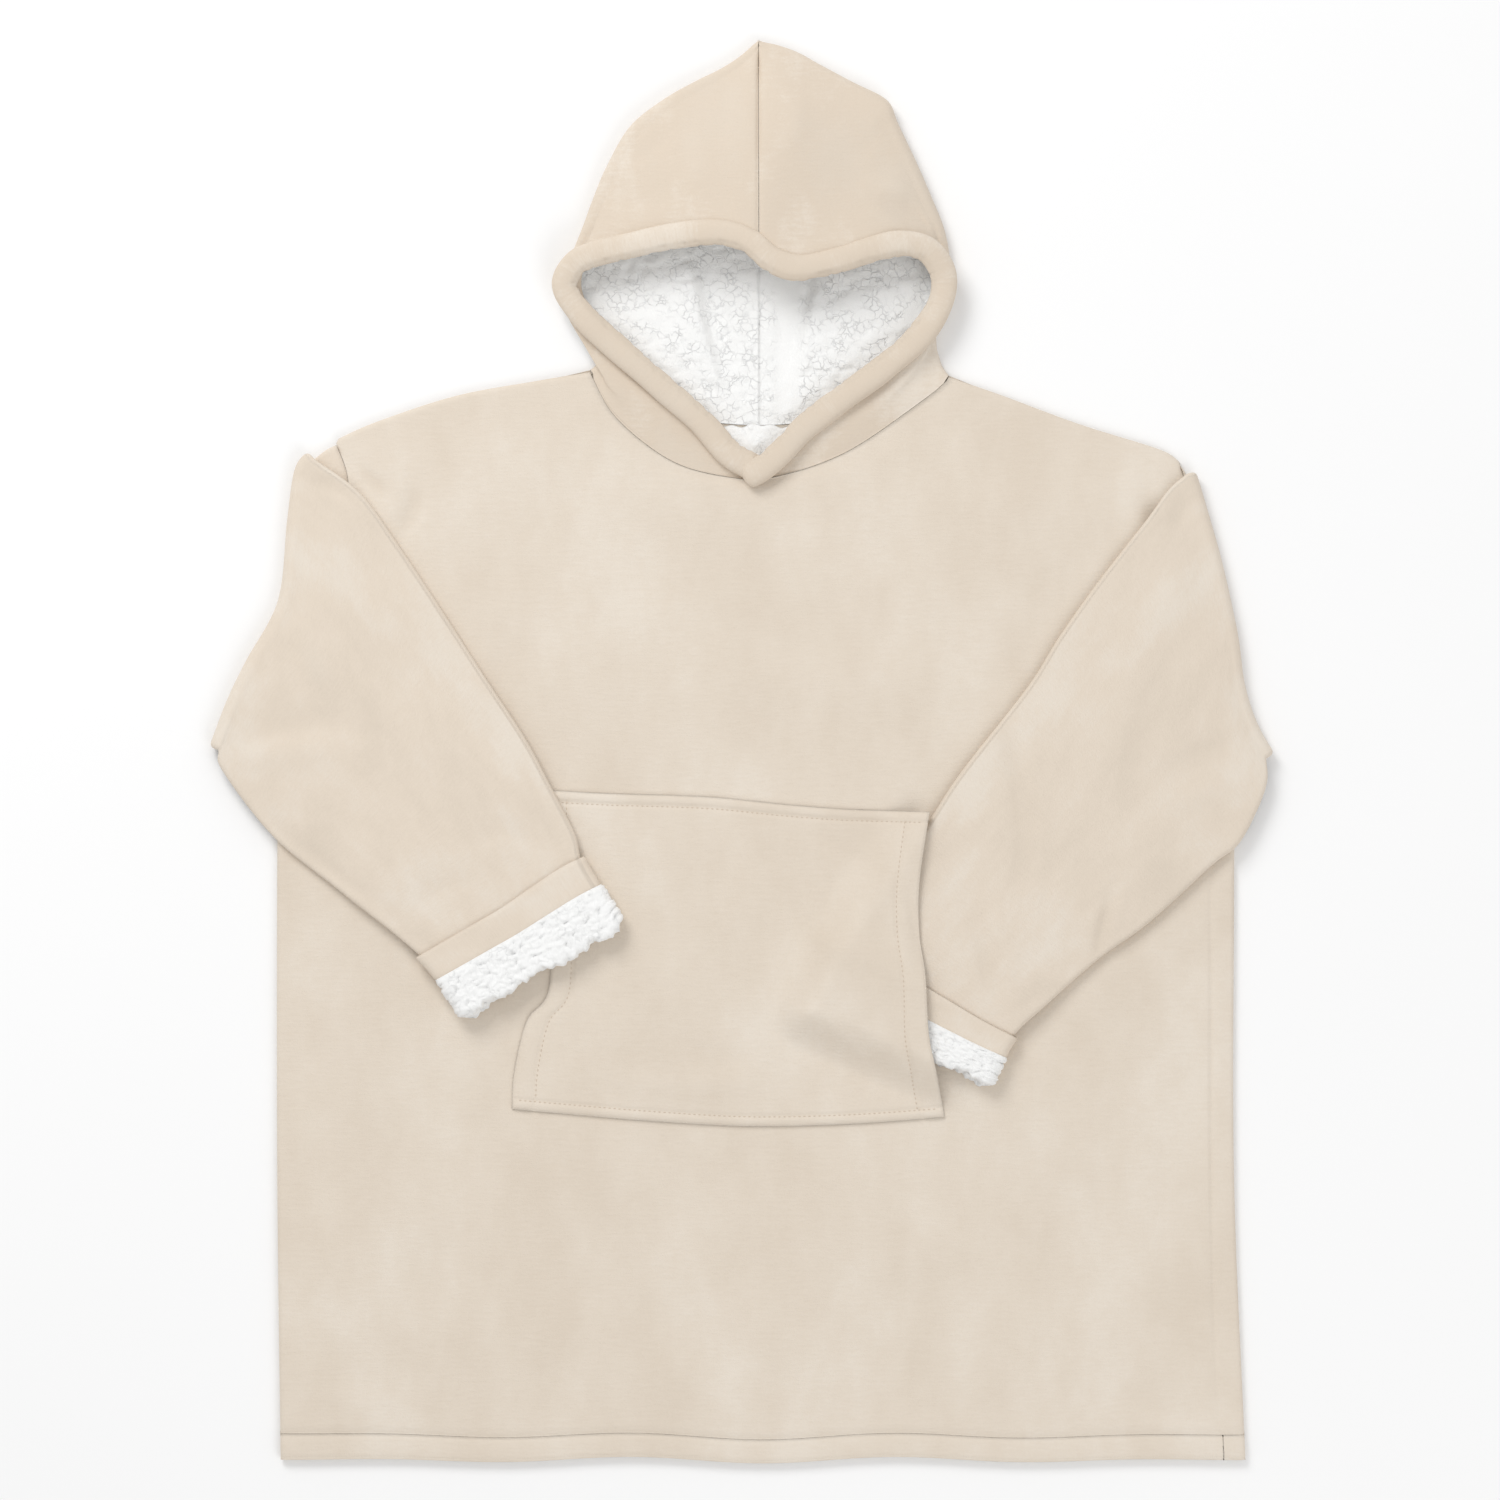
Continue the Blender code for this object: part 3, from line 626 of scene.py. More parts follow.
@dataclass(frozen=True)
class Flannel:
    """Short-napped fleece: a mottled nap, faint rows of pile, a fine grain, and painted shade in fold troughs with
    painted highlight on fold ridges.

    Attributes:
        name: Name of the material.
        deep: Colour where the nap lies away, also mixed in as painted shade along fold troughs.
        body: Main colour.
        light: Colour where the nap is brushed up, also mixed in as painted highlight on fold ridges.
        rows: Rows of pile in a metre of cloth.
        shift: Moves the mottling, so that pieces differ.
    """

    name: str
    deep: Colour = (0.705, 0.615, 0.512, 1.0)
    body: Colour = (0.742, 0.656, 0.555, 1.0)
    light: Colour = (0.782, 0.707, 0.614, 1.0)
    rows: float = 330.0
    shift: float = 0.0

    def material(self) -> bpy.types.Material:
        """Build the material.

        Returns:
            The material, on the cloth_at attribute and the attribute of the painted light level.
        """
        material, tree, shader = start_material(self.name)
        cloth = node(tree, "ShaderNodeAttribute", {"attribute_name": "cloth_at"}, {}, "Vector")
        cloth = node(tree, "ShaderNodeVectorMath", {"operation": "ADD"},
                     {0: cloth, 1: (self.shift, 0.37 * self.shift, 0.0)})
        press = node(tree, "ShaderNodeAttribute", {"attribute_name": "press"}, {}, "Fac")
        patches = noise(tree, stretched(tree, cloth, (1.0, 0.7, 1.0), 0.3), 6.5, 3.0, 0.55)
        brushed = noise(tree, stretched(tree, cloth, (1.5, 0.8, 1.0), -0.5), 15.0, 4.0, 0.62)
        speckle = noise(tree, cloth, 420.0, 3.0, 0.75)
        rows_noise = noise(tree, stretched(tree, cloth, (60.0, self.rows, 1.0)), 1.0, 2.0, 0.6)
        grain = noise(tree, cloth, 1500.0, 2.0, 0.7)
        lay = smooth_share(tree, patches * 0.6 + brushed * 0.4, 0.30, 0.70)
        lay = lay * 0.5 + rows_noise * 0.24 + speckle * 0.26
        colour = mix_colours(tree, smooth_share(tree, lay, 0.22, 0.55), self.deep, self.body)
        colour = mix_colours(tree, smooth_share(tree, lay, 0.48, 0.80), colour, self.light)
        # Painted shade: a low painted light level, set in fold troughs, pulls the colour towards deep; painted
        # highlight: a high one, on fold ridges, pulls it towards light.
        colour = mix_colours(tree, smooth_share(tree, press, 0.45, 0.05) * 0.55, colour, self.deep)
        colour = mix_colours(tree, smooth_share(tree, press, 0.55, 0.95) * 0.35, colour, self.light)
        first = bump(tree, rows_noise * 0.5 + speckle * 0.5, 0.0011, 0.6)
        second = bump(tree, grain, 0.0003, 0.45, first)
        attach(tree, shader, {"Base Color": colour, "Roughness": 0.98 - lay * 0.12, "Normal": second})
        shader.inputs["Sheen Weight"].default_value = 0.22
        shader.inputs["Sheen Roughness"].default_value = 0.55
        shader.inputs["Sheen Tint"].default_value = (1.0, 0.96, 0.9, 1.0)
        shader.inputs["Specular IOR Level"].default_value = 0.15
        return material


@dataclass(frozen=True)
class Sherpa:
    """White curly pile: bright tufts, grooves painted in cool grey shade, and fine curls.

    Attributes:
        name: Name of the material.
        groove: Cool grey colour of the painted shade deep between the tufts.
        tuft: Colour of the tufts' tops.
        tufts: Tufts in a metre of cloth.
    """

    name: str
    groove: Colour = (0.600, 0.605, 0.610, 1.0)
    tuft: Colour = (0.935, 0.935, 0.925, 1.0)
    tufts: float = 135.0

    def material(self) -> bpy.types.Material:
        """Build the material.

        Returns:
            The material, on the press attribute and Object coordinates.
        """
        material, tree, shader = start_material(self.name)
        place = node(tree, "ShaderNodeTexCoord", {}, {}, "Object")
        press = node(tree, "ShaderNodeAttribute", {"attribute_name": "press"}, {}, "Fac")
        curl = node(tree, "ShaderNodeAttribute", {"attribute_name": "curl"}, {}, "Fac")
        wander = node(tree, "ShaderNodeTexNoise", {}, {"Vector": place, "Scale": 150.0, "Detail": 2.0}, "Color")
        wander = node(tree, "ShaderNodeVectorMath", {"operation": "SCALE"}, {0: wander, "Scale": 0.009})
        bent = node(tree, "ShaderNodeVectorMath", {"operation": "ADD"}, {0: place, 1: wander})
        # Crack lines between the curls, weighted by the curl attribute: they add bump and painted shade.
        cracks = node(tree, "ShaderNodeTexVoronoi", {"feature": "DISTANCE_TO_EDGE"},
                      {"Vector": bent, "Scale": self.tufts}, "Distance")
        opened = smooth_share(tree, noise(tree, place, 70.0, 2.0), 0.36, 0.66) * curl
        groove = (1.0 - smooth_share(tree, cracks, 0.0, 0.09)) * opened
        curls = noise(tree, place, 520.0, 4.0, 0.65)
        strands = noise(tree, place, 1500.0, 2.0, 0.7)
        # Painted shade: a low painted light level and the crack lines pull the colour towards the groove colour.
        height = smooth_share(tree, press * 0.75 + curls * 0.25, 0.08, 0.50) * (1.0 - groove * 0.42)
        colour = mix_colours(tree, height, self.groove, self.tuft)
        first = bump(tree, curls * 0.5 - groove * 0.6, 0.0018, 0.6)
        second = bump(tree, strands, 0.0005, 0.5, first)
        attach(tree, shader, {"Base Color": colour, "Roughness": 0.99 - curls * 0.06, "Normal": second})
        shader.inputs["Sheen Weight"].default_value = 0.25
        shader.inputs["Sheen Roughness"].default_value = 0.6
        shader.inputs["Specular IOR Level"].default_value = 0.12
        shader.inputs["Subsurface Weight"].default_value = 0.08
        shader.inputs["Subsurface Radius"].default_value = (0.004, 0.004, 0.004)
        return material


@dataclass(frozen=True)
class Thread:
    """Sewing thread in the cloth's own colour, with a twist."""

    name: str
    colour: Colour = (0.700, 0.600, 0.490, 1.0)
    shade: Colour = (0.560, 0.460, 0.360, 1.0)

    def material(self) -> bpy.types.Material:
        """Build the material: fine slanting bands on Object coordinates."""
        material, tree, shader = start_material(self.name)
        place = node(tree, "ShaderNodeTexCoord", {}, {}, "Object")
        twist = noise(tree, stretched(tree, place, (1.0, 1.0, 1.0), 0.8), 2600.0, 1.0)
        attach(tree, shader, {"Base Color": mix_colours(tree, twist, self.shade, self.colour),
                              "Normal": bump(tree, twist, 0.0001, 0.5)})
        shader.inputs["Roughness"].default_value = 0.7
        return material


# The garment

NECK_POINT_NORMAL = np.array([0.5, 0.866])
NECK_DRAW_IN = 0.024
HOOD_CENTRE = 15.0
FRONT_NECK = ((-134, 336), (-110, 295), (-61, 257), (-10, 243), (28, 243), (92, 265), (160, 311),
              (184, 331))
BACK_NECK = ((-134, 336), (-75, 302), (15, 289), (120, 302), (184, 331))


def neck_curve(table: tuple[tuple[float, float], ...], shares: np.ndarray) -> np.ndarray:
    """Points of a neckline: shares up to a half reach the centre, and the ends are drawn in.

    Args:
        table: Plan points of the neckline, from the wearer's right to left.
        shares: Shares of the neckline.

    Returns:
        A plan point for each share.
    """
    dense = smooth_curve(np.array(table), 10)
    middle = int(np.argmin(np.abs(dense[:, 0] - HOOD_CENTRE)))
    dense[middle, 0] = HOOD_CENTRE
    before = NECK_DRAW_IN + (1 - NECK_DRAW_IN) * np.minimum(1, 2 * shares)
    after = (1 - NECK_DRAW_IN) * np.maximum(0, 2 * shares - 1)
    right = at_shares(dense[:middle + 1], before)
    left = at_shares(dense[middle:], after)
    return np.where(shares[:, None] <= 0.5, right, left)


class Outline:
    """One side of the body's outline: side seam, armhole and shoulder, from the hem to the neck."""

    def __init__(self, side_seam: tuple, armhole: tuple, shoulder: tuple, turn: int) -> None:
        """Join the three stretches.

        Args:
            side_seam: Plan points from the hem to the armhole.
            armhole: Plan points of the armhole.
            shoulder: Plan points from the shoulder tip to the neck point.
            turn: +1 on the wearer's right and -1 on the left.
        """
        self.turn = turn
        self.armhole = smooth_curve(np.array(armhole, dtype=float))
        stretches = [smooth_curve(np.array(side_seam)), self.armhole[1:], smooth_curve(np.array(shoulder))[1:]]
        self.dense = np.vstack(stretches)
        run = along_curve(self.dense)
        self.opens = run[len(stretches[0]) - 1]
        self.closes = run[len(stretches[0]) + len(stretches[1]) - 1]

    def rows(self, up: np.ndarray) -> tuple[np.ndarray, np.ndarray, np.ndarray]:
        """Outline points, outward normals and how open the edge is, 0 to 1, at shares of its length."""
        points = at_shares(self.dense, up)
        nearby = [np.clip(up + shift, 0, 1) for shift in (-0.014, -0.007, 0.0, 0.007, 0.014)]
        normals = np.mean([at_normals(self.dense, shares, self.turn) for shares in nearby], axis=0)
        neck = ease((up - 0.985) / 0.015)[:, None]
        normals = normals * (1 - neck) + neck * (NECK_POINT_NORMAL * (-self.turn, 1))
        normals /= np.linalg.norm(normals, axis=1)[:, None]
        opened = ease((up - self.opens) / 0.02) * ease((self.closes - up) / 0.02)
        return points, normals, opened


def at_normals(dense: np.ndarray, shares: np.ndarray, turn: int) -> np.ndarray:
    """Unit normals of a dense plan curve at shares of its length."""
    normals = side_normals(dense, turn)
    run = along_curve(dense)
    picked = np.column_stack([np.interp(shares, run, column) for column in normals.T])
    return picked / np.linalg.norm(picked, axis=1)[:, None]


RIGHT_OUTLINE = Outline(((-406, -622), (-409, -375), (-409, -94), (-407, 24)),
                        ((-407, 24), (-371, 91), (-350, 170), (-346, 238), (-358, 276)),
                        ((-358, 276), (-322, 292), (-252, 315), (-182, 328), (-134, 336)), 1)
LEFT_OUTLINE = Outline(((444, -622), (434, -375), (434, -129), (435, 21)),
                       ((435, 21), (416, 91), (404, 165), (396, 215), (386, 257)),
                       ((386, 257), (368, 268), (298, 290), (228, 316), (184, 331)), -1)


@dataclass
class BodyPanels:
    """Front and back with their hem bands: a flat tube whose edges curl together at mid-height.

    Attributes:
        hem_depth: Depth of the hem band.
        hem_wave: How far the hem's line waves.
        wave_count: Waves of the hem across the body.
        columns: Columns of the flat run of the front and of the back.
        rows: Rows of the front and of the back.
        curl: Columns of each edge curl.
        seam_from_edge: How far the left side seam has rolled onto the front.
        front_folds: Folds of the front.
        under_folds: Folds of the back's underside, which lift off the floor.
    """

    hem_depth: float = 19.0
    hem_wave: float = 3.0
    wave_count: float = 3.5
    columns: tuple[int, int] = (168, 96)
    rows: tuple[int, int] = (186, 110)
    curl: int = 6
    seam_from_edge: float = 16.8
    front_folds: tuple[Fold, ...] = (
        Fold(((-301, 186), (-293, 204), (-287, 219), (-281, 235)), -3.2, 7.0, 1.9),
        Fold(((-312, 190), (-305, 208), (-300, 226)), 1.6, 9.0),
        Fold(((347, 227), (358, 213), (367, 197), (372, 178)), -3.6, 9.0, 1.6),
        Fold(((333, 249), (345, 234), (352, 216)), 2.2, 10.0),
        Fold(((-335, 250), (-322, 236), (-312, 226)), -3.0, 6.0),
        Fold(((413, -80), (414, -217), (414, -349), (416, -481), (420, -590)), -1.7, 2.4),
        Fold(((408, -99), (409, -249), (410, -420), (416, -590)), 0.9, 8.0),
        Fold(((314, -349), (312, -393), (315, -447)), -0.9, 5.0, 2.0),
        Fold(((370, -331), (367, -384), (373, -453)), -0.9, 5.0, 2.0),
        Fold(((-362, -226), (-336, -323), (-345, -437)), -1.1, 26.0, 1.6),
        Fold(((-89, -375), (-98, -463), (-76, -569)), -1.0, 30.0, 1.5),
        Fold(((-107, 188), (-37, 135), (87, 100), (192, 126)), -1.3, 30.0, 1.8),
        Fold(((-246, 40), (-190, 96), (-150, 170)), -1.2, 22.0),
        Fold(((210, 60), (180, 120), (190, 200)), -1.1, 20.0),
        Fold(((330, -560), (370, -575), (410, -585)), -1.6, 12.0, 2.0),
        Fold(((-380, -560), (-330, -572), (-290, -560)), 1.0, 14.0),
        Fold(((60, -420), (140, -440), (230, -425)), 0.9, 24.0),
    )
    under_folds: tuple[Fold, ...] = (
        Fold(((-300, -480), (-250, -300), (-270, -120)), 1.1, 16.0, 1.6),
        Fold(((180, -500), (230, -330), (210, -200)), 1.0, 18.0),
        Fold(((-160, 40), (0, 80), (170, 30)), 1.1, 20.0, 1.5),
        Fold(((-40, -560), (-60, -440), (-30, -350)), 0.8, 14.0),
        Fold(((300, 60), (330, 140), (340, 220)), 0.9, 10.0),
    )

    def surface(self, columns: int, up: np.ndarray, neck: tuple, is_front: bool, radius: float,
                relief: bool) -> np.ndarray:
        """A surface of the front or back: a patch in plan, level, with a quarter round at each side.

        Args:
            columns: Columns of the flat run.
            up: Shares from the hem to the neck.
            neck: The neckline's table.
            is_front: The front is the upper half of the tube.
            radius: Radius of the quarter round, which is also the height over mid-height.
            relief: Add the folds; else only the cloth's rise.

        Returns:
            Points, rows by columns.
        """
        ends = np.array([0.0, 1.0])
        right, right_normal, right_open = RIGHT_OUTLINE.rows(up)
        left, left_normal, left_open = LEFT_OUTLINE.rows(up)
        right_ends, right_end_normals, _ = RIGHT_OUTLINE.rows(ends)
        left_ends, left_end_normals, _ = LEFT_OUTLINE.rows(ends)
        by_seam = 1 - self.seam_from_edge / 840 + np.array([-3.0, -1.8, -0.8, 0.0, 0.8, 1.8, 3.0]) / 840
        across = np.sort(np.concatenate([np.linspace(0, 1, columns + 1), by_seam]))
        low_right = right_ends[0] - EDGE_RADIUS * right_end_normals[0]
        low_left = left_ends[0] - EDGE_RADIUS * left_end_normals[0]
        hem = (1 - across[:, None]) * low_right + across[:, None] * low_left
        wave = np.sin(across * self.wave_count * math.tau) * np.sin(across * math.pi)
        hem[:, 1] += self.hem_wave * wave
        top = neck_curve(neck, across)
        right_centre = right - EDGE_RADIUS * right_normal
        left_centre = left - EDGE_RADIUS * left_normal
        last = ease((up - 0.97) / 0.03)[:, None] ** 3
        right_centre += last * (top[0] - (right_ends[1] - EDGE_RADIUS * right_end_normals[1]))
        left_centre += last * (top[-1] - (left_ends[1] - EDGE_RADIUS * left_end_normals[1]))
        plan = coons(right_centre, left_centre, hem, top, across, up)
        flat = np.dstack([plan, np.full(plan.shape[:2], EDGE_RADIUS + radius)])
        steps = np.arange(self.curl) / self.curl
        angles = math.asin(0.05 / max(radius, 0.1)) * (1 - steps) + steps * math.pi / 2

        def edge(centre: np.ndarray, normal: np.ndarray, opened: np.ndarray) -> np.ndarray:
            """Columns of a quarter round, laid out level along the open armhole."""
            level = opened[:, None]
            reach = radius * np.cos(angles) * (1 - level) + EDGE_RADIUS * (1 - steps) * level
            height = radius * np.sin(angles) * (1 - level) + radius * level
            xy = centre[:, None] + normal[:, None] * reach[:, :, None]
            return np.dstack([xy, EDGE_RADIUS + height])

        grid = np.concatenate([edge(right_centre, right_normal, right_open), flat,
                               edge(left_centre, left_normal, left_open)[:, ::-1]], axis=1)
        x, y = grid[:, :, 0], grid[:, :, 1]
        inside = np.concatenate([np.zeros(self.curl), ease(np.minimum(across, 1 - across) * 840 / 26),
                                 np.zeros(self.curl)])[None, :]
        ends_fade = (ease((1 - up) * 945 / 40) * ease(up * 945 / 34))[:, None]
        if is_front:
            lift = cloth_lie(x, y) * ends_fade
            if relief:
                lift = lift + folded(x, y, self.front_folds) * ease(up * 945 / 14)[:, None]
            grid[:, :, 2] += lift * inside
        else:
            grid[:, :, 2] = 2 * EDGE_RADIUS - grid[:, :, 2]
            if relief:
                grid[:, :, 2] += np.clip(folded(x, y, self.under_folds), 0, 2) * inside * ends_fade
        return grid

    def build(self, front: bpy.types.Material, back: bpy.types.Material,
              band: bpy.types.Material) -> list[bpy.types.Object]:
        """Build the four pieces.

        Args:
            front: Finish of the front.
            back: Finish of the back.
            band: Finish of the hem bands.

        Returns:
            The pieces.
        """
        made = []
        length = 945.0
        for word, k, neck, is_front, material in (("front", 0, FRONT_NECK, True, front),
                                                  ("back", 1, BACK_NECK, False, back)):
            columns = self.columns[k]
            band_up = np.linspace(0, self.hem_depth / length, 9)
            panel_up = np.concatenate([[(self.hem_depth + 0.15) / length, (self.hem_depth + 1.2) / length],
                                       np.linspace((self.hem_depth + 3) / length, 1, self.rows[k])])
            for part, up in (("panel", panel_up), ("band", band_up)):
                outer = self.surface(columns, up, neck, is_front, EDGE_RADIUS, True)
                inner = self.surface(columns, up, neck, is_front, EDGE_RADIUS - WALL, False)
                side = 1 if is_front else -1
                if part == "band":
                    share = up / band_up[-1]
                    puff = 0.9 * np.sin(math.pi * share) - 1.5 * ease((share - 0.86) / 0.14)
                    outer[:, :, 2] += side * (puff[:, None] - 1.2 * (1 - ease(share / 0.12))[:, None])
                    name, node_name, finish = f"hem_{word}_cloth", f"hem_band_{word}", band
                else:
                    seam = 1 - ease((up - panel_up[0]) * length / 3.2)
                    outer[:, :, 2] -= side * 1.3 * seam[:, None]
                    name, node_name, finish = f"{word}_cloth", f"{word}_panel", material
                points = np.concatenate([outer.reshape(-1, 3), inner.reshape(-1, 3)])
                mesh = make_mesh(name, points, shell_faces(*outer.shape[:2]))
                x, y = outer[:, :, 0], outer[:, :, 1]
                lay_out(mesh, x, y)
                relief = folded(x, y, self.front_folds if is_front else self.under_folds)
                # Painted shade in fold troughs and painted highlight on fold ridges, from the folds' heights.
                paint(mesh, "press", np.clip(0.5 + relief * 0.16, 0, 1))
                piece = place_piece(mesh, finish, "flannel", node_name)
                made.append(piece)
        return made


@dataclass
class Sleeve:
    """A flattened tube from the armhole along the floor, round the outer fold and over the front.

    Attributes:
        side: "right" or "left", the wearer's.
        outline: The body outline that it is sewn to.
        fold: Plan outline from the shoulder to the elbow.
        upper: Upper edge from the fold to the wrist.
        lower: Lower edge from the fold to the wrist.
        rise: Height of the tube's middle at shares of the length.
        cuff: Where the cuff's band begins and ends: shares of the upper and of the lower edge.
        folds: Folds of the face that shows.
        turn: +1 on the wearer's right and -1 on the left.
        lays: Names of what it rests on; not used.
        swell: Arch of the face that shows.
        draw_in: How far the armhole's ends are drawn in, a share of it.
        cuff_end: Share of the length where the turned-back pile ends.
        columns, curl: Columns of the face, and of each half round.
        covered: The pocket lies over what is left of this on the picture, x.
        length: Length along the middle.
    """

    side: str
    outline: Outline
    fold: tuple
    upper: tuple
    lower: tuple
    rise: tuple
    cuff: tuple
    folds: tuple[Fold, ...]
    turn: int
    lays: tuple[str, ...]
    swell: float = 2.5
    draw_in: float = 0.03
    cuff_end: float = 0.996
    columns: int = 76
    curl: int = 6
    covered: float = -1000.0
    length: float = 560.0
    across: np.ndarray = field(init=False)

    def __post_init__(self) -> None:
        """Work out the borders from the tables."""
        self.across = np.linspace(0, 1, self.columns + 1)
        drawn = np.interp(self.across, [0, 1 / 6, 5 / 6, 1], [self.draw_in, 1 / 6, 5 / 6, 1 - self.draw_in])
        dense = smooth_curve(np.array(self.fold, dtype=float))
        fold_line = at_shares(dense, drawn)
        self.outward = at_normals(dense[::-1], 1 - drawn, self.turn)
        self.fold_centre = fold_line - self.outward * (FOLD_RADIUS + EDGE_RADIUS)
        edge = self.outline.armhole + side_normals(self.outline.armhole, self.turn) * SEAM_GAP
        self.seam = at_shares(edge[::-1], drawn)
        self.upper_line = self.border(self.fold_centre[0], self.upper, -self.turn)
        self.lower_line = self.border(self.fold_centre[-1], self.lower, self.turn)
        low, high = self.upper_line[-1], self.lower_line[-1]
        self.wrist = (1 - self.across[:, None]) * low + self.across[:, None] * high

    @staticmethod
    def border(corner: np.ndarray, table: tuple, inward_turn: int) -> np.ndarray:
        """An edge's middle line: the table's outline drawn in by the edge radius."""
        points = np.array(table, dtype=float)
        inward = side_normals(np.vstack([corner, points]), inward_turn)[1:]
        return smooth_curve(np.vstack([corner, points + inward * EDGE_RADIUS]))

    def over_front(self, shares: np.ndarray) -> tuple[np.ndarray, np.ndarray]:
        """Middle surface after the fold: a patch in plan at the height of the rise's table.

        Args:
            shares: Shares of the length to the wrist.

        Returns:
            Points and normals, stations by columns.
        """
        table = np.array([(0.0, 0.0), *self.cuff, (1.0, 1.0)])
        upper = at_shares(self.upper_line, shares)
        lower = at_shares(self.lower_line, np.interp(shares, table[:, 0], table[:, 1]))
        plan = coons(upper, lower, self.fold_centre, self.wrist, self.across, shares)
        rise = smooth_rise(np.array(self.rise), shares)
        height = np.repeat(rise[:, None], len(self.across), axis=1)
        height = height + cloth_lie(plan[:, :, 0], plan[:, :, 1]) * ease(shares / 0.1)[:, None]
        normals = np.zeros(plan.shape[:2] + (3,))
        normals[:, :, 2] = 1.0
        return np.dstack([plan, height]), normals

    def before_front(self, steps: int) -> tuple[np.ndarray, np.ndarray]:
        """Middle surface from the armhole seam, along the floor and half round the fold.

        Args:
            steps: Steps round the fold.

        Returns:
            Points and normals, stations by columns.
        """
        floor = np.full((len(self.across), 1), EDGE_RADIUS)
        surfaces, normals = [], []
        for share in np.linspace(0, 1, 9)[:-1]:
            plan = (1 - share) * self.seam + share * self.fold_centre
            surfaces.append(np.hstack([plan, floor]))
            normals.append(np.tile((0.0, 0.0, -1.0), (len(self.across), 1)))
        for angle in np.linspace(-math.pi / 2, math.pi / 2, steps + 1)[:-1]:
            sideways = self.outward * math.cos(angle)
            plan = self.fold_centre + sideways * FOLD_RADIUS
            height = floor + FOLD_RADIUS * (1 + math.sin(angle))
            surfaces.append(np.hstack([plan, height]))
            normals.append(np.hstack([sideways, np.full_like(floor, math.sin(angle))]))
        return np.stack(surfaces), np.stack(normals)

    def loops(self, middle: np.ndarray, normals: np.ndarray, radius: np.ndarray,
              swell: np.ndarray) -> np.ndarray:
        """Closed loops round the middle surface: top run, half round, bottom run and half round.

        Args:
            middle: Middle surface.
            normals: Its normals.
            radius: Half height at each station.
            swell: Extra arch of the top at each station.

        Returns:
            Points, stations by loop.
        """
        arch = swell[:, None, None] * np.sin(math.pi * self.across)[None, :, None]
        reach = radius[:, None, None]
        top = middle + normals * (reach + arch)
        bottom = middle - normals * reach
        steps = np.linspace(math.pi / 2, -math.pi / 2, self.curl + 2)[1:-1]

        def edge(column: int, beside: int, angles: np.ndarray) -> np.ndarray:
            """Half round of an edge, square to the middle surface."""
            outward = middle[:, column] - middle[:, beside]
            square = normals[:, column]
            outward = outward - square * np.sum(outward * square, axis=1)[:, None]
            outward /= np.linalg.norm(outward, axis=1)[:, None]
            lean = np.sin(angles)[None, :, None] * square[:, None]
            lean = lean + np.cos(angles)[None, :, None] * outward[:, None]
            return middle[:, column][:, None] + reach * lean

        return np.concatenate([top, edge(-1, -3, steps), bottom[:, ::-1], edge(0, 2, steps[::-1])], axis=1)

    def unfolded(self, shares: np.ndarray, before: int) -> tuple[np.ndarray, np.ndarray]:
        """Where each point of the loops lies on the cloth: round the tube and along it, millimetres."""
        loop = 2 * len(self.across) + 2 * self.curl
        along = np.concatenate([np.linspace(-60, 0, before, endpoint=False), shares * self.length])
        return np.meshgrid(np.arange(loop) * 4.6, along)

    def tube(self, material: bpy.types.Material) -> bpy.types.Object:
        """The sleeve itself, open at the armhole and the wrist.

        Args:
            material: Its finish.

        Returns:
            The piece.
        """
        band, line = self.cuff[0][0], self.cuff[1][0]
        shares = np.concatenate([np.linspace(0, band - 0.01, 136),
                                 np.linspace(band, self.cuff_end - 0.012, 10)])
        before, before_normals = self.before_front(12)
        after, after_normals = self.over_front(shares)
        middle = np.concatenate([before, after])
        normals = np.concatenate([before_normals, after_normals])
        swell = np.zeros(len(middle))
        swell[len(before):] = self.swell * np.sin(math.pi * np.minimum(shares / (band - 0.01), 1))
        outer = self.loops(middle, normals, np.full(len(middle), EDGE_RADIUS), swell)
        inner = self.loops(middle, normals, np.full(len(middle), EDGE_RADIUS - WALL), swell)
        relief = folded(outer[:, :, 0], outer[:, :, 1], self.folds)
        shows = np.zeros(outer.shape[:2])
        shows[:, :len(self.across)] = 1
        shows[:, len(self.across):len(self.across) + self.curl] = np.linspace(0.8, 0.1, self.curl)
        shows[:, -self.curl:] = np.linspace(0.1, 0.8, self.curl)
        shows[:len(before)] = 0
        shows[len(before):] *= (ease((band - 0.012 - shares) / 0.02) * ease(shares / 0.05))[:, None]
        outer[:, :, 2] += relief * shows
        inner[:, :, 2] += np.minimum(relief, 0) * shows
        inner[:, :, 2] = np.minimum(inner[:, :, 2], outer[:, :, 2] - 0.5 * (shows > 0))
        sewn = 1 - ease(np.arange(len(middle)) / 3)
        outer -= normals_of(outer) * (0.7 * sewn)[:, None, None]
        points = np.concatenate([outer.reshape(-1, 3), inner.reshape(-1, 3)])
        mesh = make_mesh(self.side + "_sleeve_cloth", points, shell_faces(*outer.shape[:2], True))
        u, v = self.unfolded(shares, len(before))
        lay_out(mesh, u, v)
        # Painted shade in fold troughs and painted highlight on fold ridges of the face that shows.
        paint(mesh, "press", np.clip(0.5 + relief * shows * 0.15, 0, 1))
        piece = place_piece(mesh, material, "flannel", self.side + "_sleeve")
        return piece

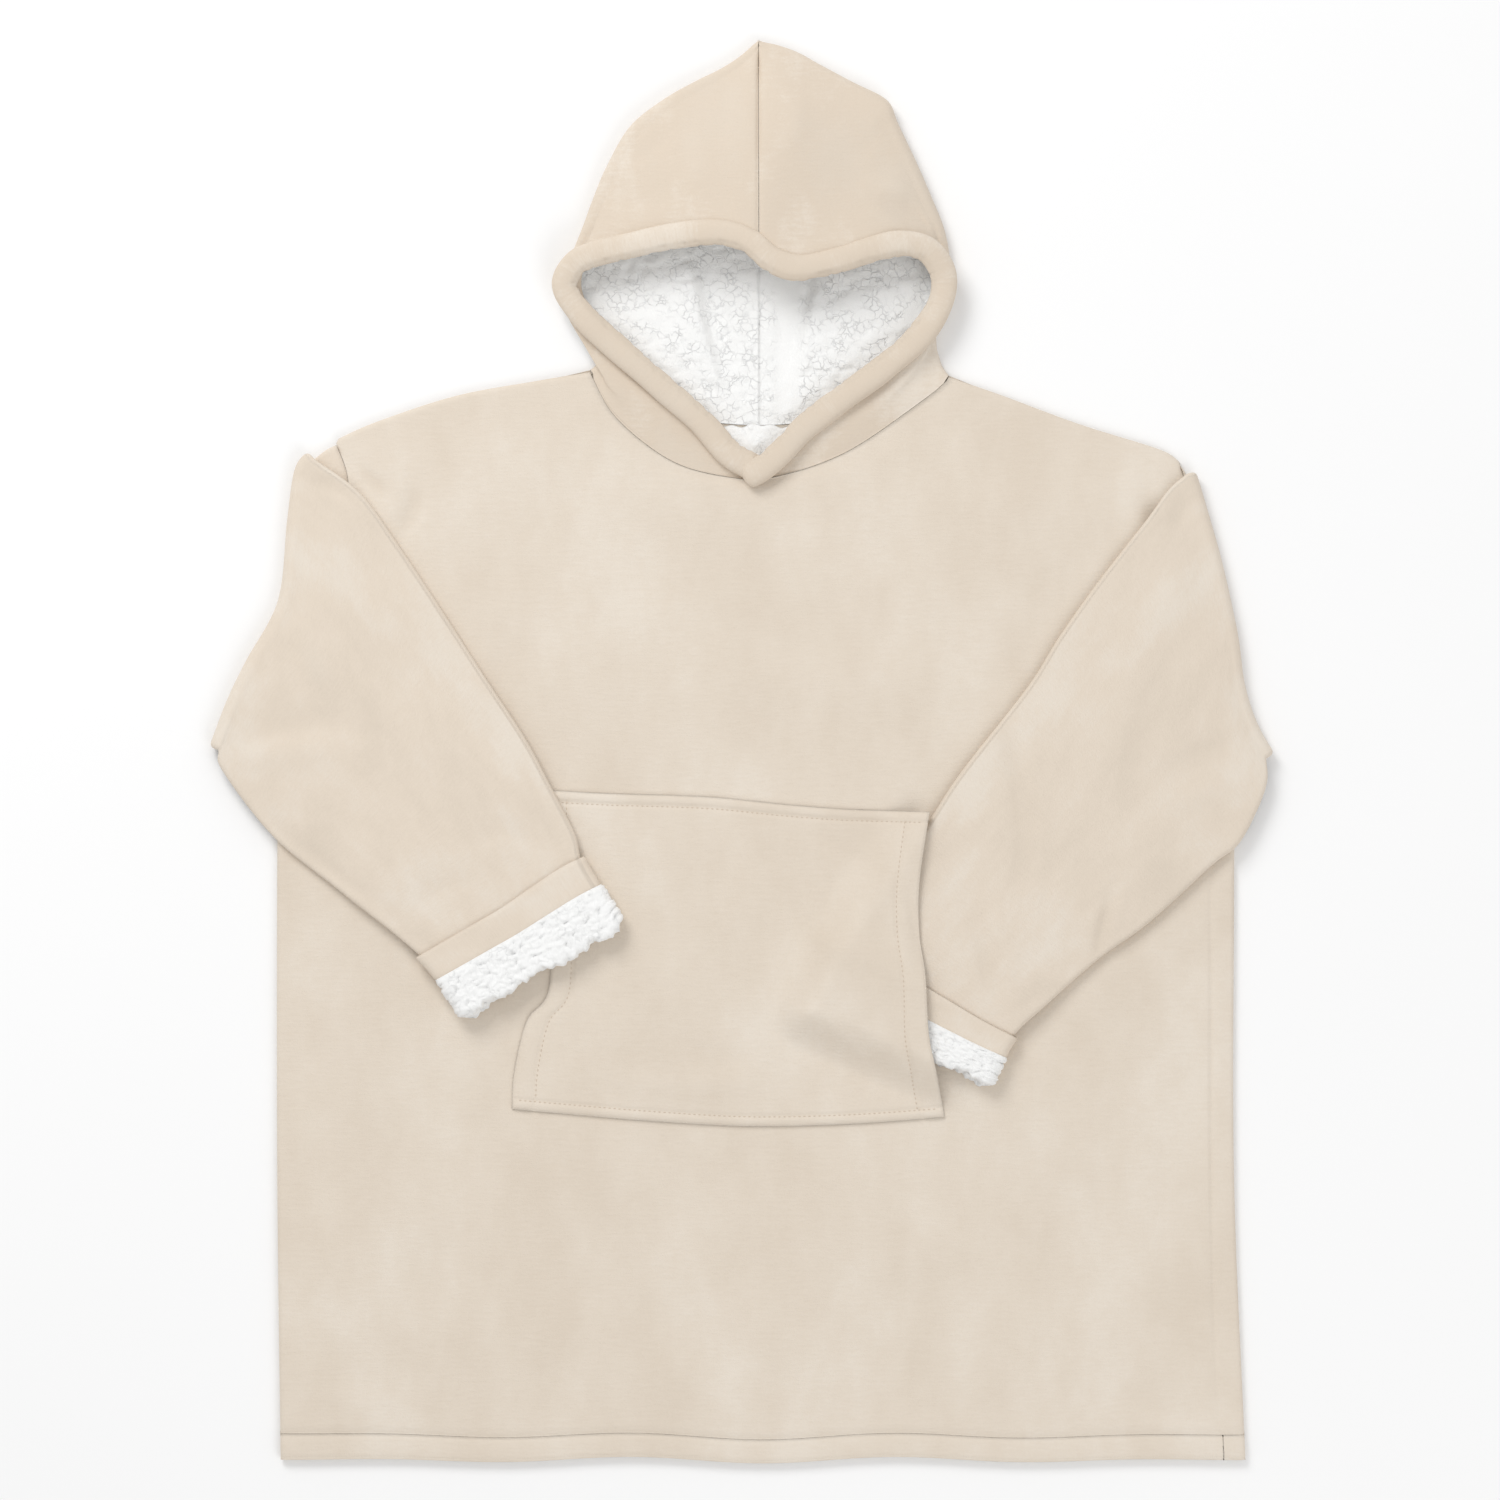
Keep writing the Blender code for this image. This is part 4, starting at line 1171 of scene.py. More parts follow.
    def cuff_rings(self, flannel: bpy.types.Material, sherpa: bpy.types.Material) -> list[bpy.types.Object]:
        """The turned-back cuff: a smooth band and a ring of curly pile that turns in at its end.

        Args:
            flannel: Finish of the band.
            sherpa: Finish of the pile.

        Returns:
            The band and the sherpa ring.
        """
        fine = replace(self, columns=116)
        band, line = self.cuff[0][0], self.cuff[1][0]
        under, over = EDGE_RADIUS + SEAM_GAP, EDGE_RADIUS + SEAM_GAP + WALL
        middle = (under + over) / 2
        start = band - 0.012
        t = np.linspace(0, 1, 18)
        round_in = np.sqrt(1 - (1 - np.clip(t / 0.16, 0, 1)) ** 2)
        round_out = np.sqrt(1 - np.clip((t - 0.86) / 0.14, 0, 1) ** 2 * 0.8)
        shares = start + t * (line - start)
        half = (over - middle) * round_in * round_out
        across_band, band_normals = fine.over_front(shares)
        outer = fine.loops(across_band, band_normals, middle + half, np.zeros(len(t)))
        inner = fine.loops(across_band, band_normals, middle - half * 0.98, np.zeros(len(t)))
        mesh = make_mesh(self.side + "_cuff_band_cloth",
                         np.concatenate([outer.reshape(-1, 3), inner.reshape(-1, 3)]),
                         shell_faces(*outer.shape[:2], True))
        u, v = fine.unfolded(shares, 0)
        lay_out(mesh, v, u * 0.4)
        paint(mesh, "press", 0.5 + 0 * u)
        band_piece = place_piece(mesh, flannel, "flannel", self.side + "_cuff_band")

        out = np.linspace(line - 0.002, self.cuff_end - 0.008, 38)
        turn = np.linspace(0, math.pi, 12)[1:-1]
        inside = EDGE_RADIUS - WALL + SEAM_GAP
        lip_share = self.cuff_end - 0.008 + 0.008 * np.sin(turn)
        lip_radius = (over + inside) / 2 + (over - inside) / 2 * np.cos(turn)
        back = np.full(2, self.cuff_end - 0.011)
        shares = np.concatenate([out, lip_share, back, out[::-5], out[:1]])
        radii = np.concatenate([np.full(len(out), over), lip_radius, [inside, under],
                                np.full(len(out[::-5]) + 1, under)])
        surface, up = fine.over_front(shares)
        ring = fine.loops(surface, up, radii, np.zeros(len(shares)))
        u, v = np.meshgrid(np.arange(ring.shape[1]) * 1.55, np.arange(len(shares)) * 1.5)
        tufts = Clumps(6.8, 11 + self.turn)(u, v)
        curls = 0.5 + 0.5 * FINE(u, v, 2.8)
        pile = np.zeros(len(shares))
        pile[:len(out)] = ease(np.arange(len(out)) / 4 + 0.2)
        pile[len(out):len(out) + len(turn)] = np.linspace(1.0, 0.5, len(turn))
        hidden = 1 - 0.9 * ease((self.covered - ring[:, :, 0]) / 14)
        thick = pile[:, None] * (3.0 * tufts + 1.1 * curls - 1.0) * hidden
        outwards = normals_of(ring)
        sag = np.clip(outwards[:, :, 2], -1, 0)
        grown = ring + outwards * (thick * (1 + 0.85 * sag))[:, :, None]
        end_way = (fine.upper_line[-1] - fine.upper_line[-9]) + (fine.lower_line[-1] - fine.lower_line[-9])
        end_way = np.append(end_way / np.linalg.norm(end_way), 0.0)
        reach = np.clip(np.arange(len(shares)) / len(out), 0, 1)[:, None] ** 2 * (pile > 0)[:, None]
        ragged = 3.2 * WAVES(u, v * 0.1, 34.0) + 2.4 * FINE(u, v * 0.15, 6.0) + 1.4 * WAVES(u, v * 0.3, 3.4)
        grown = grown + end_way * (reach * (ragged - 0.6) * hidden)[:, :, None]
        grown[:, :, 2] = np.maximum(grown[:, :, 2], self.lowest())
        mesh = make_mesh(self.side + "_cuff_sherpa_pile", grown, grid_faces(*ring.shape[:2], True, True))
        # Painted shade between the tufts: low tufts paint the pile darker.
        paint(mesh, "press", np.clip(tufts * 0.75 + curls * 0.35, 0.25, 1) * pile[:, None] + 0.5 * (1 - pile[:, None]))
        paint(mesh, "curl", np.full(ring.shape[:2], 0.45))
        sherpa_piece = place_piece(mesh, sherpa, "sherpa", self.side + "_cuff_sherpa")
        return [band_piece, sherpa_piece]

    def lowest(self) -> float:
        """Height that the pile must not go below: the solid's own underside."""
        low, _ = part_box(self.side + "_cuff_sherpa")
        return low.z / MM - 0.2


def normals_of(ring: np.ndarray) -> np.ndarray:
    """Normals of a tube of loops, turned to point away from each loop's own middle."""
    normals = grid_normals(ring, columns_close=True)
    outward = ring - ring.mean(axis=1, keepdims=True)
    flip = np.sign(np.sum(normals * outward, axis=(1, 2)))
    return normals * np.where(flip == 0, 1, flip)[:, None, None]


def smooth_rise(table: np.ndarray, shares: np.ndarray) -> np.ndarray:
    """Heights of a table of share and height, the corners rounded by a running mean.

    Args:
        table: Rows of share and height.
        shares: Where to read it.

    Returns:
        A height for each share.
    """
    offsets = np.linspace(-0.035, 0.035, 9)
    return np.mean([np.interp(shares + offset, table[:, 0], table[:, 1]) for offset in offsets], axis=0)


RIGHT_SLEEVE = Sleeve(
    side="right", outline=RIGHT_OUTLINE, turn=1,
    fold=((-379, 269), (-393, 251), (-400, 205), (-408, 135), (-436, 82), (-453, 47), (-470, 2)),
    upper=((-335, 229), (-301, 183), (-263, 126), (-225, 67), (-190, 14), (-168, -27), (-146, -70),
           (-138, -98), (-104, -152)),
    lower=((-458, -14), (-411, -74), (-349, -124), (-279, -181), (-240, -233)),
    rise=((0.0, 13.8), (0.45, 13.8), (0.62, 17.4), (0.78, 19.5), (0.84, 21.3), (1.0, 21.3)),
    cuff=((0.868, 0.80), (0.916, 0.872)),
    lays=("front_cloth", "pocket_cloth"),
    folds=(
        Fold(((-367, 252), (-353, 246), (-337, 233)), 2.2, 7.0),
        Fold(((-379, 240), (-360, 234), (-345, 225)), -1.8, 7.0),
        Fold(((-448, 10), (-411, 22), (-362, 28), (-318, 17)), -2.3, 12.0, 1.7),
        Fold(((-440, -8), (-400, 0), (-350, 2)), 1.5, 12.0),
        Fold(((-428, -42), (-403, -71), (-366, -99), (-325, -129), (-297, -155)), -2.4, 5.0, 1.8),
        Fold(((-362, 170), (-334, 100), (-292, 47), (-239, 7)), -1.6, 18.0, 1.7),
        Fold(((-395, 130), (-370, 70), (-352, 30)), 1.5, 17.0),
        Fold(((-300, 70), (-262, 18), (-222, -22)), 1.5, 18.0),
        Fold(((-239, -82), (-208, -68), (-177, -82)), -1.6, 8.0, 1.6),
        Fold(((-290, -135), (-262, -118), (-236, -112)), -1.5, 8.0, 1.5),
        Fold(((-396, 100), (-400, 60), (-418, 30)), -1.3, 10.0),
    ))

LEFT_SLEEVE = Sleeve(
    side="left", outline=LEFT_OUTLINE, turn=-1, length=600.0, covered=172.0,
    fold=((399, 252), (411, 212), (424, 165), (437, 105), (443, 62), (454, 27), (471, -3)),
    upper=((374, 231), (355, 205), (333, 177), (307, 143), (277, 100), (250, 57), (193, -16), (164, -60),
           (125, -118), (85, -173), (62, -226)),
    lower=((464, -22), (454, -50), (437, -80), (413, -99), (358, -149), (314, -181), (267, -222),
           (237, -251), (216, -292)),
    rise=((0.0, 13.8), (0.68, 13.8), (0.84, 18.1), (1.0, 18.1)),
    cuff=((0.893, 0.885), (0.936, 0.927)),
    lays=("front_cloth",),
    folds=(
        Fold(((231, 28), (236, -3), (246, -57), (244, -127)), -3.4, 8.0, 2.0),
        Fold(((247, 26), (254, -10), (264, -60), (264, -120)), 1.8, 9.0),
        Fold(((194, -133), (208, -164), (217, -204), (227, -226)), -2.6, 7.0, 1.7),
        Fold(((213, -130), (228, -166), (240, -200)), 1.8, 8.0),
        Fold(((324, -118), (318, -150), (310, -184)), -3.2, 5.0, 2.2),
        Fold(((334, -122), (328, -146), (322, -166)), 1.7, 6.0),
        Fold(((386, 100), (359, 47), (340, -15), (342, -67)), -1.9, 15.0, 1.7),
        Fold(((439, 12), (403, 1), (368, -19)), -2.0, 10.0, 1.6),
        Fold(((436, -30), (405, -34), (376, -46)), 1.5, 11.0),
        Fold(((254, -41), (270, -85), (268, -133)), -1.7, 9.0),
        Fold(((392, 180), (372, 130), (330, 90)), 1.3, 18.0),
        Fold(((290, -60), (300, -100), (296, -150)), -1.4, 12.0, 1.6),
        Fold(((396, 225), (385, 205), (368, 196)), -1.6, 8.0),
    ))


def distance_to(path: np.ndarray, x: np.ndarray, y: np.ndarray) -> np.ndarray:
    """Signed plan distance to a line of points: positive on the right of its direction.

    Args:
        path: Plan points.
        x: Plan positions.
        y: Plan positions.

    Returns:
        A distance for each position.
    """
    nearest = np.full(x.shape, 1e9)
    square = np.zeros(x.shape)
    for start, end in zip(path, path[1:]):
        along = (end - start) / np.linalg.norm(end - start)
        run = (x - start[0]) * along[0] + (y - start[1]) * along[1]
        reach = np.clip(run, 0, np.linalg.norm(end - start))
        off_x, off_y = x - start[0] - reach * along[0], y - start[1] - reach * along[1]
        gap = np.hypot(off_x, off_y)
        across = along[1] * (x - start[0]) - along[0] * (y - start[1])
        chosen = (gap < nearest - 1e-6) | ((gap < nearest + 1e-6) & (np.abs(across) > np.abs(square)))
        square = np.where(chosen, across, square)
        nearest = np.minimum(nearest, gap)
    return np.sign(square) * nearest


@dataclass
class Pocket:
    """The belly pocket, lying on the front and lifted over the cuff tucked into it.

    Attributes:
        top, bottom, right_edge, left_edge: Its borders in plan.
        tucked: Plan border of the stretch of sleeve inside it.
        step, axis: Where the cuff's band begins inside it, and the sleeve's direction.
        sleeve_lift, cuff_lift: How far the sleeve lifts it, and the cuff on top of that.
        reach, inside, run: How far the cloth slopes down outside and inside the sleeve's edge, and
            along the cuff's step.
        wall: Its thickness.
        hems: Distance of the stitch line from the top, bottom, right and left border.
        folds: Folds of its face.
    """

    top: tuple = ((-173, -32), (-121, -35), (-31, -38), (41, -45), (95, -49), (165, -51))
    bottom: tuple = ((-202, -313), (-157, -317), (-85, -323), (5, -328), (95, -326), (179, -320))
    right_edge: tuple = ((-173, -32), (-170, -111), (-169, -204), (-189, -235), (-200, -280), (-202, -313))
    left_edge: tuple = ((165, -51), (156, -114), (156, -158), (161, -193), (164, -245), (171, -280),
                        (179, -320))
    tucked: tuple = ((175, -40), (164, -60), (125, -118), (85, -173), (62, -226), (216, -292))
    step: tuple = (161.0, -211.0)
    axis: tuple = (-0.443, -0.896)
    sleeve_lift: float = 16.0
    cuff_lift: float = 8.5
    reach: float = 38.0
    inside: float = 6.0
    run: float = 38.0
    wall: float = 2.5
    hems: tuple[float, float, float, float] = (9.5, 9.0, 19.0, 20.0)
    folds: tuple[Fold, ...] = (
        Fold(((144, -111), (150, -142), (161, -182)), -2.2, 5.0, 1.8),
        Fold(((126, -132), (139, -166), (146, -200)), 1.5, 7.0),
        Fold(((133, -226), (139, -252), (153, -279)), -1.9, 5.5, 1.8),
        Fold(((104, -182), (126, -204), (133, -235)), -1.6, 6.0, 1.6),
        Fold(((60, -214), (96, -238), (118, -268)), -1.5, 8.0, 1.6),
        Fold(((-133, -85), (-89, -155), (-81, -226)), -1.3, 18.0, 1.8),
        Fold(((20, -80), (8, -150), (24, -210)), 1.2, 20.0),
        Fold(((-150, -280), (-60, -292), (30, -288)), 1.1, 12.0),
        Fold(((60, -60), (84, -84), (112, -96)), -1.1, 8.0),
        Fold(((-60, -250), (-20, -270), (10, -262)), -1.0, 12.0),
    )
    rows: int = 132
    columns: int = 146

    def lift(self, x: np.ndarray, y: np.ndarray) -> np.ndarray:
        """How far the tucked sleeve and cuff lift the pocket: an eased slope of the distance to them."""
        apart = distance_to(np.array(self.tucked, dtype=float), x, y)
        near = ease((self.reach - apart) / (self.reach + self.inside))
        past = (x - self.step[0]) * self.axis[0] + (y - self.step[1]) * self.axis[1]
        return near * (self.sleeve_lift + self.cuff_lift * ease((past + self.run) / self.run))

    def grid(self) -> tuple[np.ndarray, np.ndarray, np.ndarray]:
        """The upper surface, its underside, and the relief of folds, hems and edges.

        Returns:
            Two grids of points, rows from the top border down, and a grid of heights.
        """
        def crowded(count: int) -> np.ndarray:
            """Shares that lie closer together near both ends."""
            even = np.linspace(0, 1, count + 1)
            return even - 0.055 * np.sin(math.tau * even)

        across, down = crowded(self.columns), crowded(self.rows)
        right, left = (at_shares(smooth_curve(np.array(edge)), down)
                       for edge in (self.right_edge, self.left_edge))
        top, bottom = (at_shares(smooth_curve(np.array(edge)), across) for edge in (self.top, self.bottom))
        plan = coons(right, left, top, bottom, across, down)
        x, y = plan[:, :, 0], plan[:, :, 1]
        width = np.linalg.norm(left - right, axis=1)[:, None]
        height = np.linalg.norm(bottom - top, axis=1)[None, :]
        gaps = (down[:, None] * height, (1 - down[:, None]) * height,
                across[None, :] * width, (1 - across[None, :]) * width)
        relief = folded(x, y, self.folds)
        for gap, hem in zip(gaps, self.hems):
            relief = relief - 1.0 * np.exp(-((gap - hem) / 1.7) ** 2)
            relief = relief + 0.7 * np.exp(-((gap - hem * 0.5) / (hem * 0.36)) ** 2)
        border = np.minimum(np.minimum(gaps[0], gaps[1]), np.minimum(gaps[2], gaps[3]))
        rounded = np.sqrt(1 - (1 - np.clip(border / 2.6, 0, 1)) ** 2)
        sewn = np.maximum(ease((9 - gaps[1]) / 9), ease((-y - 212) / 20) * ease((9 - gaps[2]) / 9))
        rest = LAYER_TOP + SEAM_GAP + self.lift(x, y) + cloth_lie(x, y) + 0.25
        thick = self.wall + 0.9 * (1 - sewn)
        upper = np.dstack([plan, rest + self.wall * 0.3 + (thick - self.wall * 0.3) * rounded + relief * rounded])
        under = np.dstack([plan, rest + np.minimum(relief, 0) * 0.5 * rounded])
        return upper, under, relief

    def build(self, material: bpy.types.Material) -> tuple[bpy.types.Object, np.ndarray]:
        """Build the pocket.

        Args:
            material: Its finish.

        Returns:
            The piece and its upper grid, for the stitches.
        """
        upper, under, relief = self.grid()
        points = np.concatenate([upper.reshape(-1, 3), under.reshape(-1, 3)])
        mesh = make_mesh("pocket_cloth", points, shell_faces(*upper.shape[:2]))
        lay_out(mesh, upper[:, :, 0], upper[:, :, 1])
        # Painted shade along the stitch grooves and fold troughs, painted highlight on the puffs and fold ridges.
        paint(mesh, "press", np.clip(0.5 + relief * 0.17, 0, 1))
        return place_piece(mesh, material, "flannel", "pocket"), upper

    def line(self, upper: np.ndarray, border: int) -> np.ndarray:
        """Points of the stitch line along one border: the grid's row or column at the hem's distance."""
        size = (upper.shape[0] - 1, upper.shape[1] - 1)
        length = (282.0, 282.0, 345.0, 345.0)[border]
        share = self.hems[border] / length
        even = np.linspace(0, 1, 400)
        crowd = even - 0.055 * np.sin(math.tau * even)
        share = np.interp(share, crowd, even)
        if border in (0, 1):
            row = round((share if border == 0 else 1 - share) * size[0])
            return upper[row, 3:-3]
        column = round((share if border == 2 else 1 - share) * size[1])
        return upper[6:-6, column]


@dataclass
class Hood:
    """Both halves of the hood with their sherpa linings, as hollow shells.

    Each row of a table is a section from the neck to the peak: outline x, y, top edge x, y, z, and
    the radius of the outer roll.
    """

    right: tuple = (
        (-134, 336, -4, 243, 8.8, 4.4), (-128, 343, -34, 288, 12.5, 4.6), (-125, 350, -68, 318, 14.5, 5.0),
        (-124, 358, -104, 348, 15.5, 5.5), (-135, 375, -121, 370, 15.5, 6.0), (-153, 400, -138, 400, 17.5, 7.0),
        (-156, 418, -140, 420, 20.0, 7.5), (-150, 438, -131, 442, 26.0, 8.5), (-140, 463, -101, 450, 34.5, 9.5),
        (-130, 490, -62, 458, 41.0, 10.5), (-118, 518, -22, 461, 46.0, 11.0), (-98, 552, 4, 456, 48.5, 10.5),
        (-68, 576, 15, 449, 49.0, 10.0), (-40, 592, 15, 494, 48.0, 9.0), (-18, 603, 15, 534, 42.0, 8.0),
        (0, 615, 15, 576, 29.0, 7.0), (15, 629, 15, 612, 13.0, 5.5))
    left: tuple = (
        (184, 331, 24, 246, 8.8, 4.4), (177, 341, 55, 279, 13.0, 4.6), (174, 350, 88, 305, 15.0, 5.0),
        (172, 358, 125, 334, 16.5, 5.5), (172, 375, 155, 360, 17.5, 6.0), (177, 396, 163, 392, 18.5, 7.0),
        (181, 415, 168, 417, 20.0, 7.5), (183, 438, 165, 446, 26.0, 8.5), (178, 463, 140, 452, 33.5, 9.5),
        (168, 488, 113, 446, 39.5, 10.5), (155, 518, 85, 437, 44.0, 11.0), (138, 554, 40, 432, 47.0, 10.5),
        (128, 575, 15, 446, 49.0, 10.0), (98, 591, 15, 494, 48.0, 9.0), (70, 606, 15, 534, 42.0, 8.0),
        (46, 619, 15, 576, 29.0, 7.0), (15, 629, 15, 612, 13.0, 5.5))
    tip: float = 611.0
    outer_wall: float = 1.4
    lining_wall: float = 2.4
    rows: int = 150
    under_columns: int = 52
    over_columns: int = 56
    curl: int = 12
    folds: tuple[Fold, ...] = (
        Fold(((118, 489), (138, 474), (160, 466), (176, 468)), -3.6, 7.0, 1.8),
        Fold(((104, 505), (128, 494), (150, 490)), 1.8, 12.0),
        Fold(((-128, 498), (-92, 484), (-48, 490)), -1.8, 9.0, 1.6),
        Fold(((62, 556), (92, 522), (106, 483)), -1.7, 15.0, 1.6),
        Fold(((-60, 560), (-40, 520), (-48, 480)), 1.6, 16.0),
        Fold(((-112, 356), (-95, 335), (-68, 311)), -2.2, 6.0, 1.6),
        Fold(((153, 353), (122, 324), (84, 296)), -2.2, 5.0, 1.6),
        Fold(((40, 590), (48, 560), (40, 520)), 1.3, 12.0),
        Fold(((-20, 590), (-14, 560), (-20, 530)), -1.2, 9.0),
        Fold(((-108, 520), (-80, 530), (-60, 552)), -1.4, 8.0, 1.5),
        Fold(((130, 540), (112, 520), (100, 512)), 1.2, 9.0),
    )
    lining_folds: tuple[Fold, ...] = (
        Fold(((-60, 478), (-47, 430), (-36, 376), (-26, 341), (-14, 296)), 6.0, 44.0, 0.13),
        Fold(((-52, 470), (-38, 425), (-27, 376), (-17, 341)), -2.2, 5.0, 2.0),
        Fold(((76, 470), (67, 410), (61, 376), (53, 356), (46, 328)), 6.0, 5.5, 8.0),
        Fold(((66, 450), (57, 400), (50, 370), (44, 345)), -1.8, 4.5, 1.5),
        Fold(((-118, 420), (-96, 380), (-60, 330)), 1.4, 13.0),
        Fold(((120, 430), (110, 400), (88, 360)), 1.2, 13.0),
    )

    def surface(self, table: tuple, turn: int, depth: float, relief: bool) -> np.ndarray:
        """One surface of a half: from the seam under the back, out along the floor, round the roll and over.

        Args:
            table: The half's sections.
            turn: +1 on the wearer's right and -1 on the left.
            depth: How deep the surface lies inside the outer face.
            relief: Add the folds.

        Returns:
            Points, rows by columns.
        """
        knots = np.array(table, dtype=float)
        centre = HOOD_CENTRE - turn * SEAM_GAP / 2
        up = np.linspace(0, 1, self.rows)
        dense = smooth_curve(knots, 12)
        at = np.linspace(0, 1, len(dense))
        section = np.column_stack([np.interp(up, at, column) for column in dense.T])
        radius = section[:, 5]
        outline, top_edge = section[:, 0:2], section[:, 2:4].copy()
        outward = side_normals(outline, turn)
        neck = ease(up / 0.05)[:, None]
        outward = outward * neck + (1 - neck) * (NECK_POINT_NORMAL * (-turn, 1))
        peak = ease((up - 0.97) / 0.03)[:, None]
        outward = outward * (1 - peak) + peak * np.array([0.0, 1.0])
        outward /= np.linalg.norm(outward, axis=1)[:, None]
        curl_centre = outline - outward * radius[:, None]
        curl_centre[:, 0] = curl_centre[:, 0] * (1 - peak[:, 0]) + centre * peak[:, 0]
        beyond = turn * (top_edge[:, 0] - centre)
        top_edge[:, 0] = np.where((beyond > 0) | (up > 12 / 16), centre, top_edge[:, 0])
        run_in = np.linspace(0, 1, self.under_columns + 1)
        run_over = np.linspace(0, 1, self.over_columns + 1)

        half = 0.5 * run_in if turn > 0 else 1 - 0.5 * run_in
        back_neck = neck_curve(BACK_NECK, half)[::-1]
        back_neck[:, 1] += SEAM_GAP
        back_neck[0, 0] = centre
        settle = (1 - ease(up / 0.04))[:, None]
        curl_centre = curl_centre + settle * (back_neck[-1] - curl_centre[0])
        seam_y = back_neck[0, 1] + (self.tip - back_neck[0, 1]) * up
        seam_under = np.column_stack([np.full(self.rows, centre), seam_y])
        tip_under = (1 - run_in[:, None]) * seam_under[-1] + run_in[:, None] * curl_centre[-1]
        plan = coons(seam_under, curl_centre, back_neck, tip_under, run_in, up)
        under = np.dstack([plan, np.full(plan.shape[:2], depth)])

        reach = 0.5 * run_over
        front_neck = neck_curve(FRONT_NECK, reach if turn > 0 else 1 - reach)
        front_neck[:, 1] += SEAM_GAP
        front_neck[0] = curl_centre[0]
        top_edge = top_edge + settle * (front_neck[-1] - top_edge[0])
        tip_over = (1 - run_over[:, None]) * curl_centre[-1] + run_over[:, None] * top_edge[-1]
        plan = coons(curl_centre, top_edge, front_neck, tip_over, run_over, up)
        swell = 1 - (1 - run_over[None, :]) ** 1.7
        height = 2 * radius[:, None] + (section[:, 4] - 2 * radius)[:, None] * swell
        x, y = plan[:, :, 0], plan[:, :, 1]
        if relief:
            on_cloth = ease(run_over * 6)[None, :] * ease(up * 22)[:, None]
            height = height + folded(x, y, self.folds) * on_cloth
            seam = np.exp(-((x - centre) / 2.0) ** 2) * (up > 0.7)[:, None]
            height = height - 1.5 * seam + 0.7 * WAVES(x, y, 44.0) * on_cloth * (1 - seam)
        top = np.dstack([plan, height - depth])

        angles = np.linspace(-math.pi / 2, math.pi / 2, self.curl + 1)[1:-1]
        inner = (radius - depth)[:, None]
        xy = curl_centre[:, None] + outward[:, None] * (inner * np.cos(angles))[:, :, None]
        roll = np.dstack([xy, radius[:, None] + inner * np.sin(angles)])
        return np.concatenate([under, roll, top], axis=1)

    def outer_half(self, side: str, table: tuple, turn: int, material: bpy.types.Material) -> None:
        """Build the flannel outer of one half."""
        coarse = replace(self, under_columns=22)
        outer = coarse.surface(table, turn, 0.0, True)
        inner = coarse.surface(table, turn, self.outer_wall, True)
        mesh = make_mesh(f"hood_{side}_cloth", np.concatenate([outer.reshape(-1, 3), inner.reshape(-1, 3)]),
                         shell_faces(*outer.shape[:2]))
        lay_out(mesh, outer[:, :, 0], outer[:, :, 1])
        shows = outer[:, :, 2] > 2
        relief = folded(outer[:, :, 0], outer[:, :, 1], self.folds) * shows
        # Painted shade in fold troughs and painted highlight on fold ridges of the hood's visible cloth.
        paint(mesh, "press", np.clip(0.5 + relief * 0.14, 0, 1))
        piece = place_piece(mesh, material, "flannel", f"hood_{side}")

    def lining_half(self, side: str, table: tuple, turn: int, material: bpy.types.Material) -> None:
        """Build the sherpa lining of one half: its inner face is piled up by tufts and folds."""
        gap = self.outer_wall + SEAM_GAP
        outer = self.surface(table, turn, gap, True)
        inner = self.surface(table, turn, gap + self.lining_wall, True)
        inward = grid_normals(inner)
        inward = inward * np.sign(np.mean(inward[:, :self.under_columns, 2]))
        x, y = inner[:, :, 0], inner[:, :, 1]
        tufts = Clumps(8.2, 31)(x + inner[:, :, 2] + 400, y)
        curls = 0.5 + 0.5 * FINE(x, y, 2.8)
        floor = np.zeros(inner.shape[:2])
        floor[:, :self.under_columns + 1] = 1
        strip = ease((12 - np.abs(x - 41)) / 3) * ease((y - 296) / 15) * floor
        relief = folded(x, y, self.lining_folds) * floor
        last = inner.shape[1] - 1 - np.arange(inner.shape[1])
        rim = ease(last / 8)[None, :]
        pile = (2.4 * tufts * (1 - 0.8 * strip) + 0.8 * curls * (1 - 0.7 * strip) - 0.4) * rim
        pile = pile * ease(np.linspace(0, 1, self.rows) * 18)[:, None]
        pile = np.where(floor > 0, pile, np.minimum(pile, 1.4))
        inner = inner + inward * pile[:, :, None]
        inner[:, 0, 0] = HOOD_CENTRE
        inner[:, :, 2] += np.maximum(relief, -1.6)
        mesh = make_mesh(f"hood_lining_{side}_pile", np.concatenate([inner.reshape(-1, 3), outer.reshape(-1, 3)]),
                         shell_faces(*inner.shape[:2]))
        # Painted shade: the middle of the lining, deep under the rim, the fold troughs and the gaps between tufts are
        # painted darker; the flat seam strip is painted at full light.
        valley_shade = np.clip(1 - np.hypot((x - 8) / 52, (y - 400) / 95), 0, 1) * floor
        press = tufts * 0.6 + curls * 0.2 + 0.35 - 0.34 * valley_shade + 0.2 * strip + np.minimum(relief, 0) * 0.15
        paint(mesh, "press", np.clip(press, 0, 1))
        paint(mesh, "curl", 1 - strip)
        piece = place_piece(mesh, material, "sherpa", f"hood_lining_{side}")

    def build(self, flannel: bpy.types.Material, sherpa: bpy.types.Material) -> None:
        """Build both halves and their linings."""
        for side, table, turn in (("right", self.right, 1), ("left", self.left, -1)):
            self.outer_half(side, table, turn, flannel)
            self.lining_half(side, table, turn, sherpa)


def cap_faces(first: int, sides: int) -> np.ndarray:
    """Quads that close a ring of an even number of points, in strips from one side to the other."""
    k = np.arange(sides // 2 - 1)
    return first + np.column_stack([k, k + 1, sides - 2 - k, sides - 1 - k])


